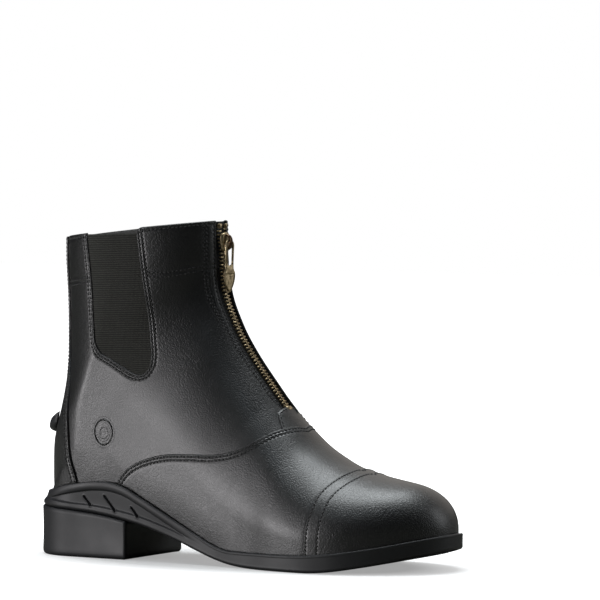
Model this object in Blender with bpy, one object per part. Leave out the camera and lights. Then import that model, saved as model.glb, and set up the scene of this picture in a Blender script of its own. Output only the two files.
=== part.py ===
"""Paddock boot, right foot: zip front, elastic side gores, rubber unit sole with a stacked heel.

Lengths are millimetres until a mesh is made. In the tables x runs from the back of the sole to the
toe, y is negative on the outer (lateral) side of the foot and z is the height above the floor.
"""
import math

import bmesh
import bpy
import numpy as np
from mathutils import Matrix, Vector
from mathutils.bvhtree import BVHTree

# Driving dimensions
MM = 0.001
SOLE_LENGTH = 271.5
GAP = 0.3                   # between pieces that touch
RIM_CLEAR = 0.8             # overlays end this far above the sole's faceted rim
WALL = 2.0                  # leather and lining of the upper
LIP = 3.6                   # land of the sole outside the foot of the upper
UPPER_TOE_X = 267.4
HEEL_CORNER_X = 5.4         # back of the upper where it stands on the sole
COLLAR_BACK_Z = 189.5
HEEL_BREAST_X = 71.4
ORIGIN_X = 135.64           # middle of the boot's box, which becomes the origin
ORIGIN_Y = -0.54
TOE_ROUND, TOE_ROUND_POWER = 40.0, 2.6
TOE_PLAN, TOE_PLAN_POWER = 58.0, 2.3
HEEL_PLAN, HEEL_PLAN_POWER = 30.0, 2.2
LOWER_ARC_POWER = 2.2

# Outline of the sole in plan, before toe and heel are rounded: x, middle, half width
PLAN_X, PLAN_MIDDLE, PLAN_HALF = range(3)
PLAN = np.array([
    (0, 0.0, 31.6), (29, 0.0, 31.9), (59, -0.6, 31.9), (84, -1.8, 31.5), (109, -3.2, 31.6),
    (134, -3.6, 34.2), (159, -2.8, 39.6), (181, -1.8, 45.2), (199, -1.2, 47.2),
    (217, -0.2, 46.4), (234, 1.8, 44.2), (252, 4.0, 41.0), (271.5, 6.0, 37.0)])

# Heights along the sole: x, underside, footbed, rim of the side wall
SOLE_X, UNDERSIDE, FOOTBED, RIM = range(4)
SOLE = np.array([
    (0, 29.5, 31.0, 37.0), (14, 29.0, 31.0, 39.5), (35, 27.8, 31.0, 43.9), (50, 26.5, 30.3, 45.8),
    (61, 25.0, 29.0, 45.5), (71.4, 23.0, 27.2, 42.8), (80.5, 21.1, 25.0, 38.4),
    (95.5, 16.9, 20.8, 30.8), (110.5, 12.0, 16.3, 23.2), (123, 7.5, 12.2, 17.2),
    (134, 4.0, 9.6, 12.2), (143, 1.9, 8.2, 9.9), (154, 0.5, 7.6, 9.5), (166, 0.0, 7.4, 9.6),
    (184, 0.0, 7.5, 9.8), (202, 0.0, 8.0, 10.4), (216, 1.1, 9.2, 11.7), (230, 3.3, 11.2, 13.7),
    (246, 6.4, 14.0, 16.5), (259, 9.6, 17.0, 19.3), (271.5, 12.4, 19.6, 21.9)])

# Sections of the upper that stand on the sole. Each lies in a plane across the boot, from its
# foot at x on the sole to its top on the ridge. Widths are half widths, outer and inner side; the
# lower arc ends and the upper arc begins at these shares of the section's height.
FOOT_X, TOP_X, TOP_Z, OUTER, INNER, LOW_ARC, HIGH_ARC, CROWN = range(8)
FOOT = np.array([
    (267.4, 267.4, 48.8, 33.6, 33.6, 0.18, 0.26, 2.30),
    (251.0, 251.0, 49.2, 37.8, 37.8, 0.18, 0.26, 2.30),
    (234.0, 233.5, 49.9, 41.0, 41.0, 0.17, 0.25, 2.25),
    (218.0, 216.5, 53.5, 42.9, 42.9, 0.16, 0.23, 2.15),
    (203.0, 200.3, 59.5, 43.9, 43.5, 0.15, 0.21, 2.00),
    (190.0, 185.6, 68.3, 43.5, 42.6, 0.14, 0.20, 1.90),
    (178.0, 174.6, 78.1, 42.1, 40.6, 0.14, 0.20, 1.85),
    (162.0, 163.3, 90.8, 39.0, 36.6, 0.15, 0.21, 1.80),
    (145.0, 152.0, 104.8, 36.3, 33.3, 0.17, 0.24, 1.85),
    (126.0, 141.0, 119.0, 34.3, 31.4, 0.20, 0.28, 1.85),
    (105.0, 132.0, 132.2, 32.9, 30.6, 0.22, 0.33, 1.90),
    (81.0, 125.8, 144.2, 31.8, 30.4, 0.24, 0.38, 1.95),
    (55.0, 122.2, 152.8, 31.0, 30.5, 0.255, 0.425, 1.98),
    (29.0, 120.4, 159.3, 30.7, 30.6, 0.265, 0.455, 2.00),
    (5.4, 119.5, 164.3, 30.7, 30.7, 0.275, 0.472, 2.00)])

# Sections that start on the back seam: height on the seam, its x, then as above
BACK_Z, BACK_X, S_TOP_X, S_TOP_Z, S_OUTER, S_INNER, S_LOW_ARC, S_HIGH_ARC, S_CROWN = range(9)
SHAFT = np.array([
    (31.3, 5.4, 119.5, 164.3, 30.7, 30.7, 0.275, 0.472, 2.00),
    (45.0, 5.0, 119.25, 167.5, 30.7, 30.7, 0.285, 0.482, 2.00),
    (62.0, 5.4, 119.05, 170.9, 30.8, 30.8, 0.302, 0.490, 2.00),
    (83.0, 10.3, 118.8, 174.3, 31.0, 31.0, 0.33, 0.497, 2.00),
    (98.0, 13.3, 118.7, 177.5, 31.3, 31.3, 0.36, 0.502, 2.02),
    (112.0, 14.9, 118.6, 180.3, 31.7, 31.7, 0.39, 0.506, 2.03),
    (134.0, 15.2, 118.5, 185.0, 32.1, 32.1, 0.43, 0.512, 2.05),
    (153.0, 14.7, 118.4, 190.0, 32.3, 32.3, 0.45, 0.517, 2.08),
    (177.0, 13.4, 118.3, 196.7, 32.4, 32.4, 0.46, 0.52, 2.10),
    (189.5, 13.4, 118.3, 200.3, 32.4, 32.4, 0.46, 0.52, 2.10)])

# Seam lines seen from the side, x and z
VAMP_EDGE = np.array([
    (62.0, 38.0), (65.7, 47.5), (70.6, 53.2), (77.7, 57.6), (88.3, 61.4), (98.0, 63.4),
    (115.0, 64.4), (132.5, 64.8), (143.0, 66.6), (152.5, 70.2), (161.0, 75.4), (170.0, 79.8),
    (182.0, 84.0)])
CAP_EDGE = np.array([(200.5, 0.0), (200.5, 12.0), (201.5, 30.0), (204.0, 45.0), (209.5, 55.5),
                     (216.0, 66.0)])
BACKSTAY_EDGE = np.array([
    (37.5, 30.0), (36.0, 44.7), (31.5, 59.4), (29.0, 80.0), (26.6, 98.0), (22.5, 115.0),
    (19.3, 135.0), (18.2, 153.0), (18.0, 172.0), (18.0, 200.0)])
GORE_OUTLINE = np.array([
    (41.2, 205.0), (41.2, 192.0), (45.7, 162.3), (48.0, 137.6), (49.6, 127.5), (53.5, 121.8),
    (60.2, 118.4), (72.0, 112.4), (78.0, 109.9), (83.2, 110.2), (87.2, 114.0), (88.4, 120.0),
    (88.0, 130.5), (85.9, 155.1), (83.8, 171.5), (81.8, 187.9), (80.6, 205.0)])

# Layers over the upper, inner and outer face measured from the upper's own face
VAMP_FACES = (GAP, 1.3)
CAP_FACES = (GAP, 1.8)
BACKSTAY_FACES = (GAP, 1.3)
PATCH_FACES = (GAP, 1.0)
GORE_FACES = (-1.7, -0.5)

# The zip
ZIP_END_X = 162.0           # foot of the section where the zip ends
SLOT_HALF = 5.6
TAPE_FACES = (-1.6, -0.7)
CHAIN_FACES = (-0.4, 1.4)
CHAIN_HALF = 3.1
SLIDER_DOWN = 13.0          # from the collar to the middle of the slider
PULL_AXIS_OUT = 4.7         # the pull's pin stands this far in front of the upper
PULL_LENGTH = 30.0
PULL_THICK = 1.3

# Short slanted slits in each wing of the sole: x and z of the middle, length
SLITS = ((43.0, 35.0, 7.2), (56.5, 34.6, 12.0), (70.5, 31.5, 7.4))
SLIT_OUT = 33.8             # middle of a slit's cutter from the boot's middle line
SLIT_DEEP, SLIT_WIDE = 6.0, 1.1
SLIT_SLANT = math.radians(36)

INSOLE_THICK = 3.0
INSOLE_LIFT = 0.5           # over the footbed, which is faceted across other places

# Mesh fineness
FOOT_STATIONS = 22
SHAFT_STATIONS = 9
ARC_STEPS, SIDE_STEPS, LOW_STEPS = 8, 1, 5
ARC_END, SIDE_END = 0.50, 0.62
SHARP_ANGLE = math.radians(35)


def smooth(xs, ys, x):
    """Cubic through the rows of a table; the slope at a row is the mean of its neighbours'."""
    if xs[0] > xs[-1]:
        xs, ys = xs[::-1], ys[::-1]
    x = np.clip(np.asarray(x, float), xs[0], xs[-1])
    step = np.diff(xs)
    slope = np.diff(ys) / step
    tangent = np.empty(len(ys))
    tangent[1:-1] = (slope[:-1] * step[1:] + slope[1:] * step[:-1]) / (step[:-1] + step[1:])
    tangent[0], tangent[-1] = slope[0], slope[-1]
    i = np.clip(np.searchsorted(xs, x, side="right") - 1, 0, len(xs) - 2)
    t = (x - xs[i]) / step[i]
    return ((2 * t**3 - 3 * t**2 + 1) * ys[i] + (t**3 - 2 * t**2 + t) * step[i] * tangent[i]
            + (3 * t**2 - 2 * t**3) * ys[i + 1] + (t**3 - t**2) * step[i] * tangent[i + 1])


def rounding(distance, power):
    """Quarter of a superellipse: 0 at the very end, 1 from distance 1 on."""
    d = np.clip(distance, 0, 1)
    return (1 - (1 - d)**power)**(1 / power)


def plan(x, inset=0.0, back=None, front=None):
    """Middle and half width of the sole's outline drawn in by inset, between two ends."""
    back = inset if back is None else back
    front = SOLE_LENGTH - inset if front is None else front
    middle = smooth(PLAN[:, PLAN_X], PLAN[:, PLAN_MIDDLE], x)
    half = smooth(PLAN[:, PLAN_X], PLAN[:, PLAN_HALF], x) - inset
    half = half * rounding((x - back) / HEEL_PLAN, HEEL_PLAN_POWER)
    return middle, half * rounding((front - x) / TOE_PLAN, TOE_PLAN_POWER)


def level(x, column):
    """Height of the sole's underside, footbed or rim at x, never below the floor."""
    return np.maximum(smooth(SOLE[:, SOLE_X], SOLE[:, column], x), 0.0)


def section(u):
    """Values of the upper's section at u: 0 at the toe, 1 at the heel corner, 2 at the collar."""
    on_foot = u <= 1
    span = UPPER_TOE_X - HEEL_CORNER_X
    foot_x = HEEL_CORNER_X + span * (1 + np.cos(np.pi * np.clip(u, 0, 1))) / 2
    low = SHAFT[0, BACK_Z]
    back_z = low + (COLLAR_BACK_Z - low) * np.clip(u - 1, 0, 1)

    def column(foot_column, shaft_column, factor=1.0):
        foot = smooth(FOOT[:, FOOT_X], FOOT[:, foot_column], foot_x) * factor
        return np.where(on_foot, foot, smooth(SHAFT[:, BACK_Z], SHAFT[:, shaft_column], back_z))

    floor = level(foot_x, FOOTBED) + GAP
    toe_height = rounding((UPPER_TOE_X - foot_x) / TOE_ROUND, TOE_ROUND_POWER)
    toe_width = rounding((UPPER_TOE_X - foot_x) / TOE_PLAN, TOE_PLAN_POWER)
    s = {}
    s["foot_x"] = np.where(on_foot, foot_x, smooth(SHAFT[:, BACK_Z], SHAFT[:, BACK_X], back_z))
    s["foot_z"] = np.where(on_foot, floor, back_z)
    s["top_x"] = column(TOP_X, S_TOP_X)
    ridge = floor + (smooth(FOOT[:, FOOT_X], FOOT[:, TOP_Z], foot_x) - floor) * toe_height
    s["top_z"] = np.where(on_foot, ridge, column(TOP_Z, S_TOP_Z))
    s["outer"] = column(OUTER, S_OUTER, toe_width)
    s["inner"] = column(INNER, S_INNER, toe_width)
    s["low_arc"] = column(LOW_ARC, S_LOW_ARC)
    s["high_arc"] = column(HIGH_ARC, S_HIGH_ARC)
    s["crown"] = column(CROWN, S_CROWN)
    toe_swing = smooth(np.array([0.0, 100.0, 150.0, 271.5]), np.array([0.0, 0.0, 0.0, 6.0]), foot_x)
    s["middle"] = np.where(on_foot, toe_swing, 0.0)
    middle, half = plan(foot_x, LIP, HEEL_CORNER_X, UPPER_TOE_X)
    s["foot_outer"] = np.where(on_foot, np.clip(s["middle"] - middle + half, 0, None), 0.0)
    s["foot_inner"] = np.where(on_foot, np.clip(middle + half - s["middle"], 0, None), 0.0)
    closed = (foot_x <= HEEL_CORNER_X) | (foot_x >= UPPER_TOE_X)
    s["foot_outer"] = np.where(closed, 0.0, s["foot_outer"])
    s["foot_inner"] = np.where(closed, 0.0, s["foot_inner"])
    return s


def face_point(u, v):
    """Point on the upper's face: v is -1 at the foot of the outer side, 0 on the ridge, 1 inside.

    From the ridge down, a section is an arc that widens to the full half width, a straight side,
    and a lower arc that draws in to the foot, or closes on the back seam.
    """
    s = section(u)
    t = np.abs(v)
    wide = np.where(v < 0, s["outer"], s["inner"])
    foot = np.where(v < 0, s["foot_outer"], s["foot_inner"])
    wide = np.maximum(wide, foot + 0.05)
    up = np.sin(np.pi / 2 * (1 - np.clip(t / ARC_END, 0, 1)))
    high_share = s["high_arc"] + (1 - s["high_arc"]) * up
    high_wide = wide * np.sqrt(np.clip(1 - up**s["crown"], 0, 1))
    side = np.clip((t - ARC_END) / (SIDE_END - ARC_END), 0, 1)
    side_share = s["high_arc"] + (s["low_arc"] - s["high_arc"]) * side
    low = np.clip((t - SIDE_END) / (1 - SIDE_END), 0, 1)
    used = (1 - np.clip(foot / wide, 0, 1)**LOWER_ARC_POWER)**(1 / LOWER_ARC_POWER)
    used = np.maximum(used, 1e-6)
    down = np.sin(np.arcsin(np.clip(used, 0, 1)) * low)
    low_share = s["low_arc"] * (1 - down / used)
    low_wide = wide * np.clip(1 - down**LOWER_ARC_POWER, 0, 1)**(1 / LOWER_ARC_POWER)
    share = np.where(t <= ARC_END, high_share, np.where(t <= SIDE_END, side_share, low_share))
    y = np.where(t <= ARC_END, high_wide, np.where(t <= SIDE_END, wide, low_wide))
    x = s["foot_x"] + (s["top_x"] - s["foot_x"]) * share
    z = s["foot_z"] + (s["top_z"] - s["foot_z"]) * share
    return np.stack([x, s["middle"] + np.where(v < 0, -y, y), z], -1)


def face_normal(u, v):
    """Unit normal of the upper's face, pointing out, from small steps along u and v."""
    du, dv = 2e-3, 2e-3
    along = face_point(np.clip(u + du, 0, 2), v) - face_point(np.clip(u - du, 0, 2), v)
    across = (face_point(u, np.clip(v + dv, -1, 1)) - face_point(u, np.clip(v - dv, -1, 1)))
    n = np.cross(across, along)
    seam = (np.abs(v) >= 1) & (u >= 1)
    n[seam, 1] = 0.0
    n[u <= 0] = (1.0, 0.0, 0.0)
    return n / np.maximum(np.linalg.norm(n, axis=-1, keepdims=True), 1e-12)


def stations():
    """The grid that every layer of the upper shares: u along the boot and v across it."""
    u = np.concatenate([np.linspace(0, 1, FOOT_STATIONS + 1),
                        1 + np.linspace(0, 1, SHAFT_STATIONS + 1)[1:]])
    half = np.concatenate([np.linspace(0, ARC_END, ARC_STEPS + 1),
                           np.linspace(ARC_END, SIDE_END, SIDE_STEPS + 1)[1:],
                           np.linspace(SIDE_END, 1, LOW_STEPS + 1)[1:]])
    return u, np.concatenate([-half[::-1], half[1:]])


def layer(offset):
    """Grid of points of one face of the leather, offset outwards from the upper's face."""
    u, v = np.meshgrid(*stations(), indexing="ij")
    return face_point(u, v) + face_normal(u, v) * offset


def mesh_object(name, points, faces):
    """Object from points in millimetres of the table frame and faces as index lists."""
    shifted = (np.asarray(points, float) - (ORIGIN_X, ORIGIN_Y, 0.0)) * MM
    mesh = bpy.data.meshes.new(name)
    mesh.from_pydata(shifted.tolist(), [], [list(map(int, f)) for f in faces])
    bm = bmesh.new()
    bm.from_mesh(mesh)
    bmesh.ops.remove_doubles(bm, verts=bm.verts, dist=1e-7)
    bmesh.ops.dissolve_degenerate(bm, edges=bm.edges, dist=1e-7)
    bmesh.ops.recalc_face_normals(bm, faces=bm.faces)
    bmesh.ops.triangulate(bm, faces=[f for f in bm.faces if len(f.verts) > 3])
    bm.to_mesh(mesh)
    bm.free()
    mesh.shade_smooth()
    mesh.set_sharp_from_angle(angle=SHARP_ANGLE)
    ob = bpy.data.objects.new(name, mesh)
    bpy.context.scene.collection.objects.link(ob)
    return ob


def material(ob, colour, roughness, metallic=0.0):
    """Give the object a Principled material of its own."""
    mat = bpy.data.materials.new(ob.name)
    mat.use_nodes = True
    shader = mat.node_tree.nodes["Principled BSDF"]
    shader.inputs["Base Color"].default_value = (*colour, 1.0)
    shader.inputs["Roughness"].default_value = roughness
    shader.inputs["Metallic"].default_value = metallic
    mat.diffuse_color = (*colour, 1.0)
    ob.data.materials.clear()
    ob.data.materials.append(mat)
    return ob


LEATHER = (0.012, 0.012, 0.013)
ELASTIC = (0.016, 0.016, 0.013)
RUBBER = (0.030, 0.031, 0.034)
BRASS = (0.36, 0.27, 0.15)
TAPE = (0.010, 0.010, 0.010)


def shell_mesh(name, inner_offset, outer_offset):
    """Closed sheet over the whole last between two offsets, open underneath and at the collar."""
    inner, outer = layer(inner_offset), layer(outer_offset)
    rows, columns = outer.shape[:2]
    points = np.concatenate([outer.reshape(-1, 3), inner.reshape(-1, 3)])
    first_shaft = FOOT_STATIONS

    def index(i, j, face):
        if i == 0:
            j = 0                       # the toe tip is one point
        if i >= first_shaft and j == columns - 1:
            j = 0                       # both sides meet on the back seam
        return face * rows * columns + i * columns + j

    faces = []
    for i in range(rows - 1):
        for j in range(columns - 1):
            for face in (0, 1):
                corners = [index(i, j, face), index(i, j + 1, face),
                           index(i + 1, j + 1, face), index(i + 1, j, face)]
                corners = list(dict.fromkeys(corners))
                if len(corners) > 2:
                    faces.append(corners if face else corners[::-1])
    for i in range(first_shaft):
        for j in (0, columns - 1):
            corners = [index(i, j, 0), index(i + 1, j, 0), index(i + 1, j, 1), index(i, j, 1)]
            faces.append(list(dict.fromkeys(corners)))
    last = rows - 1
    for j in range(columns - 1):
        faces.append([index(last, j, 0), index(last, j + 1, 0),
                      index(last, j + 1, 1), index(last, j, 1)])
    used = sorted({k for f in faces for k in f})
    place = {k: n for n, k in enumerate(used)}
    return mesh_object(name, points[used], [[place[k] for k in f] for f in faces])


def prism(name, outline, y_from, y_to):
    """Side-view outline drawn through the boot from y_from to y_to, used as a cutter."""
    outline = np.asarray(outline, float)
    n = len(outline)
    points = [(x, y, z) for y in (y_from, y_to) for x, z in outline]
    faces = [list(range(n)), list(range(2 * n - 1, n - 1, -1))]
    faces += [[i, i + n, (i + 1) % n + n, (i + 1) % n] for i in range(n)]
    cutter = mesh_object(name, points, faces)
    cutter.hide_render = True
    cutter.display_type = "WIRE"
    return cutter


def combine(ob, cutter, operation):
    """Apply an exact Boolean to the object and remove the cutter."""
    modifier = ob.modifiers.new(operation.title(), "BOOLEAN")
    modifier.operation = operation
    modifier.solver = "EXACT"
    modifier.object = cutter
    graph = bpy.context.evaluated_depsgraph_get()
    mesh = bpy.data.meshes.new_from_object(ob.evaluated_get(graph))
    ob.modifiers.clear()
    ob.data = mesh
    bm = bmesh.new()
    bm.from_mesh(mesh)
    bmesh.ops.triangulate(bm, faces=bm.faces)
    bmesh.ops.remove_doubles(bm, verts=bm.verts, dist=2e-6)
    bmesh.ops.dissolve_degenerate(bm, edges=bm.edges, dist=1e-6)
    bm.to_mesh(mesh)
    bm.free()
    mesh.shade_smooth()
    mesh.set_sharp_from_angle(angle=SHARP_ANGLE)
    bpy.data.objects.remove(cutter)
    return ob


def through(line, count):
    """Evenly spaced points on the smooth curve through a seam line's table."""
    steps = np.concatenate([[0], np.cumsum(np.hypot(*np.diff(line, axis=0).T))])
    at = np.linspace(0, steps[-1], count)
    return np.stack([smooth(steps, line[:, 0], at), smooth(steps, line[:, 1], at)], -1)


def drawn_in(outline, distance):
    """Closed outline moved inwards by a distance."""
    ahead = np.roll(outline, -1, 0) - outline
    behind = outline - np.roll(outline, 1, 0)
    tangent = ahead / np.linalg.norm(ahead, axis=1, keepdims=True)
    tangent = tangent + behind / np.linalg.norm(behind, axis=1, keepdims=True)
    tangent /= np.linalg.norm(tangent, axis=1, keepdims=True)
    area = np.sum(outline[:, 0] * np.roll(outline[:, 1], -1)
                  - np.roll(outline[:, 0], -1) * outline[:, 1])
    inward = np.stack([-tangent[:, 1], tangent[:, 0]], -1) * np.sign(area)
    return outline + inward * distance


def rim_line(x_from, x_to, count):
    """The line just above the sole's rim, seen from the side."""
    x = np.linspace(x_from, x_to, count)
    return np.stack([x, level(x, RIM) + RIM_CLEAR], -1)


def gore_outline():
    """Cut-out of one side gore: a wide strip with a slanted, rounded foot."""
    curve = through(GORE_OUTLINE[1:-1], 30)
    return np.concatenate([GORE_OUTLINE[:1], curve, GORE_OUTLINE[-1:]])


def foot_u(x):
    """The u of the section that stands at x on the sole."""
    share = (x - HEEL_CORNER_X) / (UPPER_TOE_X - HEEL_CORNER_X)
    return math.acos(2 * share - 1) / math.pi


def front_line(at):
    """Points, outward and upward unit vectors of the front ridge, at lengths from the zip's end."""
    u = np.linspace(foot_u(ZIP_END_X), 2.0, 600)
    line = face_point(u, np.zeros(len(u)))[:, [0, 2]]
    length = np.concatenate([[0], np.cumsum(np.hypot(*np.diff(line, axis=0).T))])

    def point(t):
        return np.stack([np.interp(t, length, line[:, 0]), np.interp(t, length, line[:, 1])], -1)

    reach = 4.0
    low, high = np.clip(at - reach, 0, length[-1]), np.clip(at + reach, 0, length[-1])
    up = point(high) - point(low)
    up /= np.linalg.norm(up, axis=1, keepdims=True)
    flat = np.zeros(len(at))
    centre = point(at)
    return (np.stack([centre[:, 0], flat, centre[:, 1]], -1),
            np.stack([up[:, 1], flat, -up[:, 0]], -1),
            np.stack([up[:, 0], flat, up[:, 1]], -1), length[-1])


def ridge_strip(name, start, stop, half, faces_at, rise=0.0):
    """Band along the front ridge between two offsets; rise carries its top end on upwards."""
    count = int((stop - start) / 3.2) + 1
    centre, out = front_line(np.linspace(start, stop, count))[:2]
    if rise:
        centre = np.concatenate([centre, centre[-1:] + (0.0, 0.0, rise)])
        out = np.concatenate([out, out[-1:]])
        count += 1
    corners = [centre + out * offset + (0.0, side * half, 0.0)
               for offset, side in zip(np.repeat(faces_at, 2), (-1, 1, 1, -1))]
    points = np.concatenate(corners)
    faces = [[k * count for k in range(4)], [k * count + count - 1 for k in (3, 2, 1, 0)]]
    for k in range(4):
        a, b = k * count, (k + 1) % 4 * count
        faces += [[a + i, a + i + 1, b + i + 1, b + i] for i in range(count - 1)]
    return mesh_object(name, points, faces)


def make_upper():
    """The leather upper with its lining: one hollow wall with gore cut-outs and a zip slot."""
    upper = shell_mesh("upper", -WALL, 0.0)
    cut = gore_outline()
    combine(upper, prism("gore_cut", cut, -60, -6), "DIFFERENCE")
    combine(upper, prism("gore_cut", cut, 6, 60), "DIFFERENCE")
    top = front_line(np.zeros(1))[3]
    slot = ridge_strip("slot_cut", 0.0, top, SLOT_HALF, (-8, 8), 12.0)
    combine(upper, slot, "DIFFERENCE")
    return material(upper, LEATHER, 0.38)


def make_overlay(name, faces_at, outline):
    """Leather piece cut from a layer of the upper's own shape by its side-view outline."""
    piece = shell_mesh(name, *faces_at)
    combine(piece, prism(name + "_outline", outline, -80, 80), "INTERSECT")
    return material(piece, LEATHER, 0.36)


def make_overlays():
    """Vamp, toe cap, backstay and the patch under the zip's end."""
    vamp_top = through(VAMP_EDGE, 30)
    cap_edge = through(CAP_EDGE, 12)
    vamp = np.concatenate([vamp_top, [(222.0, 90.0)], cap_edge[::-1] - (GAP, 0),
                           rim_line(200.0, 62.0, 32)])
    vamp = vamp[vamp[:, 1] > level(vamp[:, 0], RIM) + RIM_CLEAR - 0.01]
    make_overlay("vamp", VAMP_FACES, vamp)
    cap = np.concatenate([cap_edge, [(216.0, 90.0), (290.0, 90.0), (290.0, 22.2)],
                          rim_line(271.5, 200.5, 16)])
    cap = cap[cap[:, 1] > level(cap[:, 0], RIM) + RIM_CLEAR - 0.01]
    make_overlay("toe_cap", CAP_FACES, cap)
    stay_edge = through(BACKSTAY_EDGE, 20)
    stay_edge = stay_edge[stay_edge[:, 1] > level(stay_edge[:, 0], RIM) + RIM_CLEAR]
    stay = np.concatenate([rim_line(-15.0, 37.0, 14), stay_edge, [(-15.0, 200.0)]])
    make_overlay("backstay", BACKSTAY_FACES, stay)
    patch = np.array([(158.0, 86.0), (172.0, 81.2), (180.0, 84.5), (168.0, 94.0), (163.0, 90.4)])
    make_overlay("zip_end_patch", PATCH_FACES, patch)


def make_gores():
    """Elastic panels that fill the two cut-outs, set back from the leather's face."""
    panel = drawn_in(gore_outline(), GAP)
    panel[:, 1] = np.minimum(panel[:, 1], 204.0)
    for name, y_from, y_to in (("gore_outer", -60, -6), ("gore_inner", 6, 60)):
        gore = shell_mesh(name, *GORE_FACES)
        combine(gore, prism("gore_outline", panel, y_from, y_to), "INTERSECT")
        material(gore, ELASTIC, 0.85)


def outline_points(count, inset=0.0, back=None, front=None):
    """Closed plan outline from the heel's back along the outer side to the toe and back."""
    back = inset if back is None else back
    front = SOLE_LENGTH - inset if front is None else front
    x = back + (front - back) * (1 - np.cos(np.linspace(0, np.pi, count))) / 2
    middle, half = plan(x, inset, back, front)
    outer = np.stack([x, middle - half], -1)
    inner = np.stack([x, middle + half], -1)[1:-1][::-1]
    return np.concatenate([outer, inner])


def outward(outline):
    """Unit normals of a closed plan outline, pointing away from its middle."""
    tangent = np.roll(outline, -1, 0) - np.roll(outline, 1, 0)
    n = np.stack([tangent[:, 1], -tangent[:, 0]], -1)
    return n / np.linalg.norm(n, axis=1, keepdims=True)


def stacked(name, rings, count):
    """Solid from plan rings one above another; first and last are closed across the boot.

    Each ring has count points from heel to toe on the outer side and comes back on the inner one,
    so a cross strip joins the two points that share a place along the foot.
    """
    total = len(rings[0])
    points = np.concatenate(rings)
    faces = []
    for k in range(len(rings) - 1):
        a, b = k * total, (k + 1) * total
        faces += [[a + i, a + (i + 1) % total, b + (i + 1) % total, b + i] for i in range(total)]
    for base, flip in ((0, True), ((len(rings) - 1) * total, False)):
        for i in range(count - 1):
            across = [base + i, base + i + 1, base + (total - i - 1) % total,
                      base + (total - i) % total]
            across = list(dict.fromkeys(across))
            faces.append(across[::-1] if flip else across)
    return mesh_object(name, points, faces)


def make_outsole():
    """Rubber unit sole: a shallow cup whose wall rises to a wing on both sides of the heel."""
    count = 33
    outline = outline_points(count)
    normal = outward(outline)
    x = outline[:, 0]
    inner_x = x - normal[:, 0] * LIP
    footbed, rim_in = level(inner_x, FOOTBED), level(inner_x, RIM)
    # straight facets on the round heel need a little more room than along the sides
    clearance = GAP + 0.3 + 0.5 * np.clip((40 - x) / 25, 0, 1)
    skin = layer(0.0)
    rows, columns = skin.shape[:2]
    quads = [(i * columns + j, i * columns + j + 1, (i + 1) * columns + j + 1, (i + 1) * columns + j)
             for i in range(rows - 1) for j in range(columns - 1)]
    tree = BVHTree.FromPolygons(skin.reshape(-1, 3).tolist(), quads)

    def clear_of_upper(height):
        """Points just outside the upper at a height, on level rays across the outline."""
        ring = []
        for k in range(len(outline)):
            start = Vector((*(outline[k] - normal[k] * 16.0), height[k]))
            way = Vector((*normal[k], 0.0))
            hit, hit_normal = tree.ray_cast(start, way, 40.0)[:2]
            slope = max(abs(hit_normal.dot(way)), 0.5)
            ring.append(hit + way * clearance[k] / slope)
        return np.array(ring)

    wall = [clear_of_upper(footbed + 0.9 + (rim_in - footbed - 0.9) * share)
            for share in (0.0, 0.2, 0.45, 0.7, 1.0)]
    top_in = wall[-1]
    wing = np.clip((128.0 - x) / 30.0, 0, 1)
    wing = wing * wing * (3 - 2 * wing)
    land = np.einsum("ij,ij->i", outline - top_in[:, :2], normal)
    # the wing's top edge is 2.6 mm thick; along the forefoot the land reaches the outline
    top_out = top_in[:, :2] + normal * (land * (1 - wing) + 2.6 * wing)[:, None]

    flare = np.einsum("ij,ij->i", top_out - outline, normal)
    # below the step the side stands back a little, then runs down to the rounded bottom edge
    step = normal * (flare + 0.15 * wing)[:, None]
    below = normal * (flare * 0.85 - 0.9 * wing)[:, None]

    def ring(flat, column, rise=0.0):
        """Ring at the level that the sole has below or above each of its own points."""
        return np.concatenate([flat, (level(flat[:, 0], column) + rise).reshape(-1, 1)], 1)

    drop = np.minimum(4.8, 0.42 * (level(x, RIM) - level(x, UNDERSIDE)))
    rings = [
        ring(outline - normal * 12.0, UNDERSIDE),
        ring(outline - normal * 2.4, UNDERSIDE),
        ring(outline - normal * 0.8, UNDERSIDE, 0.7),
        ring(outline, UNDERSIDE, 2.2),
        ring(outline + below, RIM, -drop - 0.6),
        ring(outline + step, RIM, -drop),
        ring(top_out + normal * 0.25, RIM, -0.7),
        ring(top_out - normal * 0.5, RIM),
        *wall[::-1],
        ring(wall[0][:, :2], FOOTBED),
        ring(wall[0][:, :2] - normal * 8.0, FOOTBED)]
    sole = stacked("outsole", rings, count)
    for sign in (-1, 1):
        for x_at, z_at, length in SLITS:
            slit = bmesh.new()
            bmesh.ops.create_cube(slit, size=1.0)
            mesh = bpy.data.meshes.new("slit")
            slit.to_mesh(mesh)
            slit.free()
            box = bpy.data.objects.new("slit", mesh)
            bpy.context.scene.collection.objects.link(box)
            at = Vector((x_at - ORIGIN_X, sign * SLIT_OUT - ORIGIN_Y, z_at)) * MM
            turn = Matrix.Rotation(SLIT_SLANT, 4, "Y")
            size = Matrix.Diagonal((length * MM, SLIT_DEEP * MM, SLIT_WIDE * MM, 1.0))
            mesh.transform(Matrix.Translation(at) @ turn @ size)
            combine(sole, box, "DIFFERENCE")
    return material(sole, RUBBER, 0.55)


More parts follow.
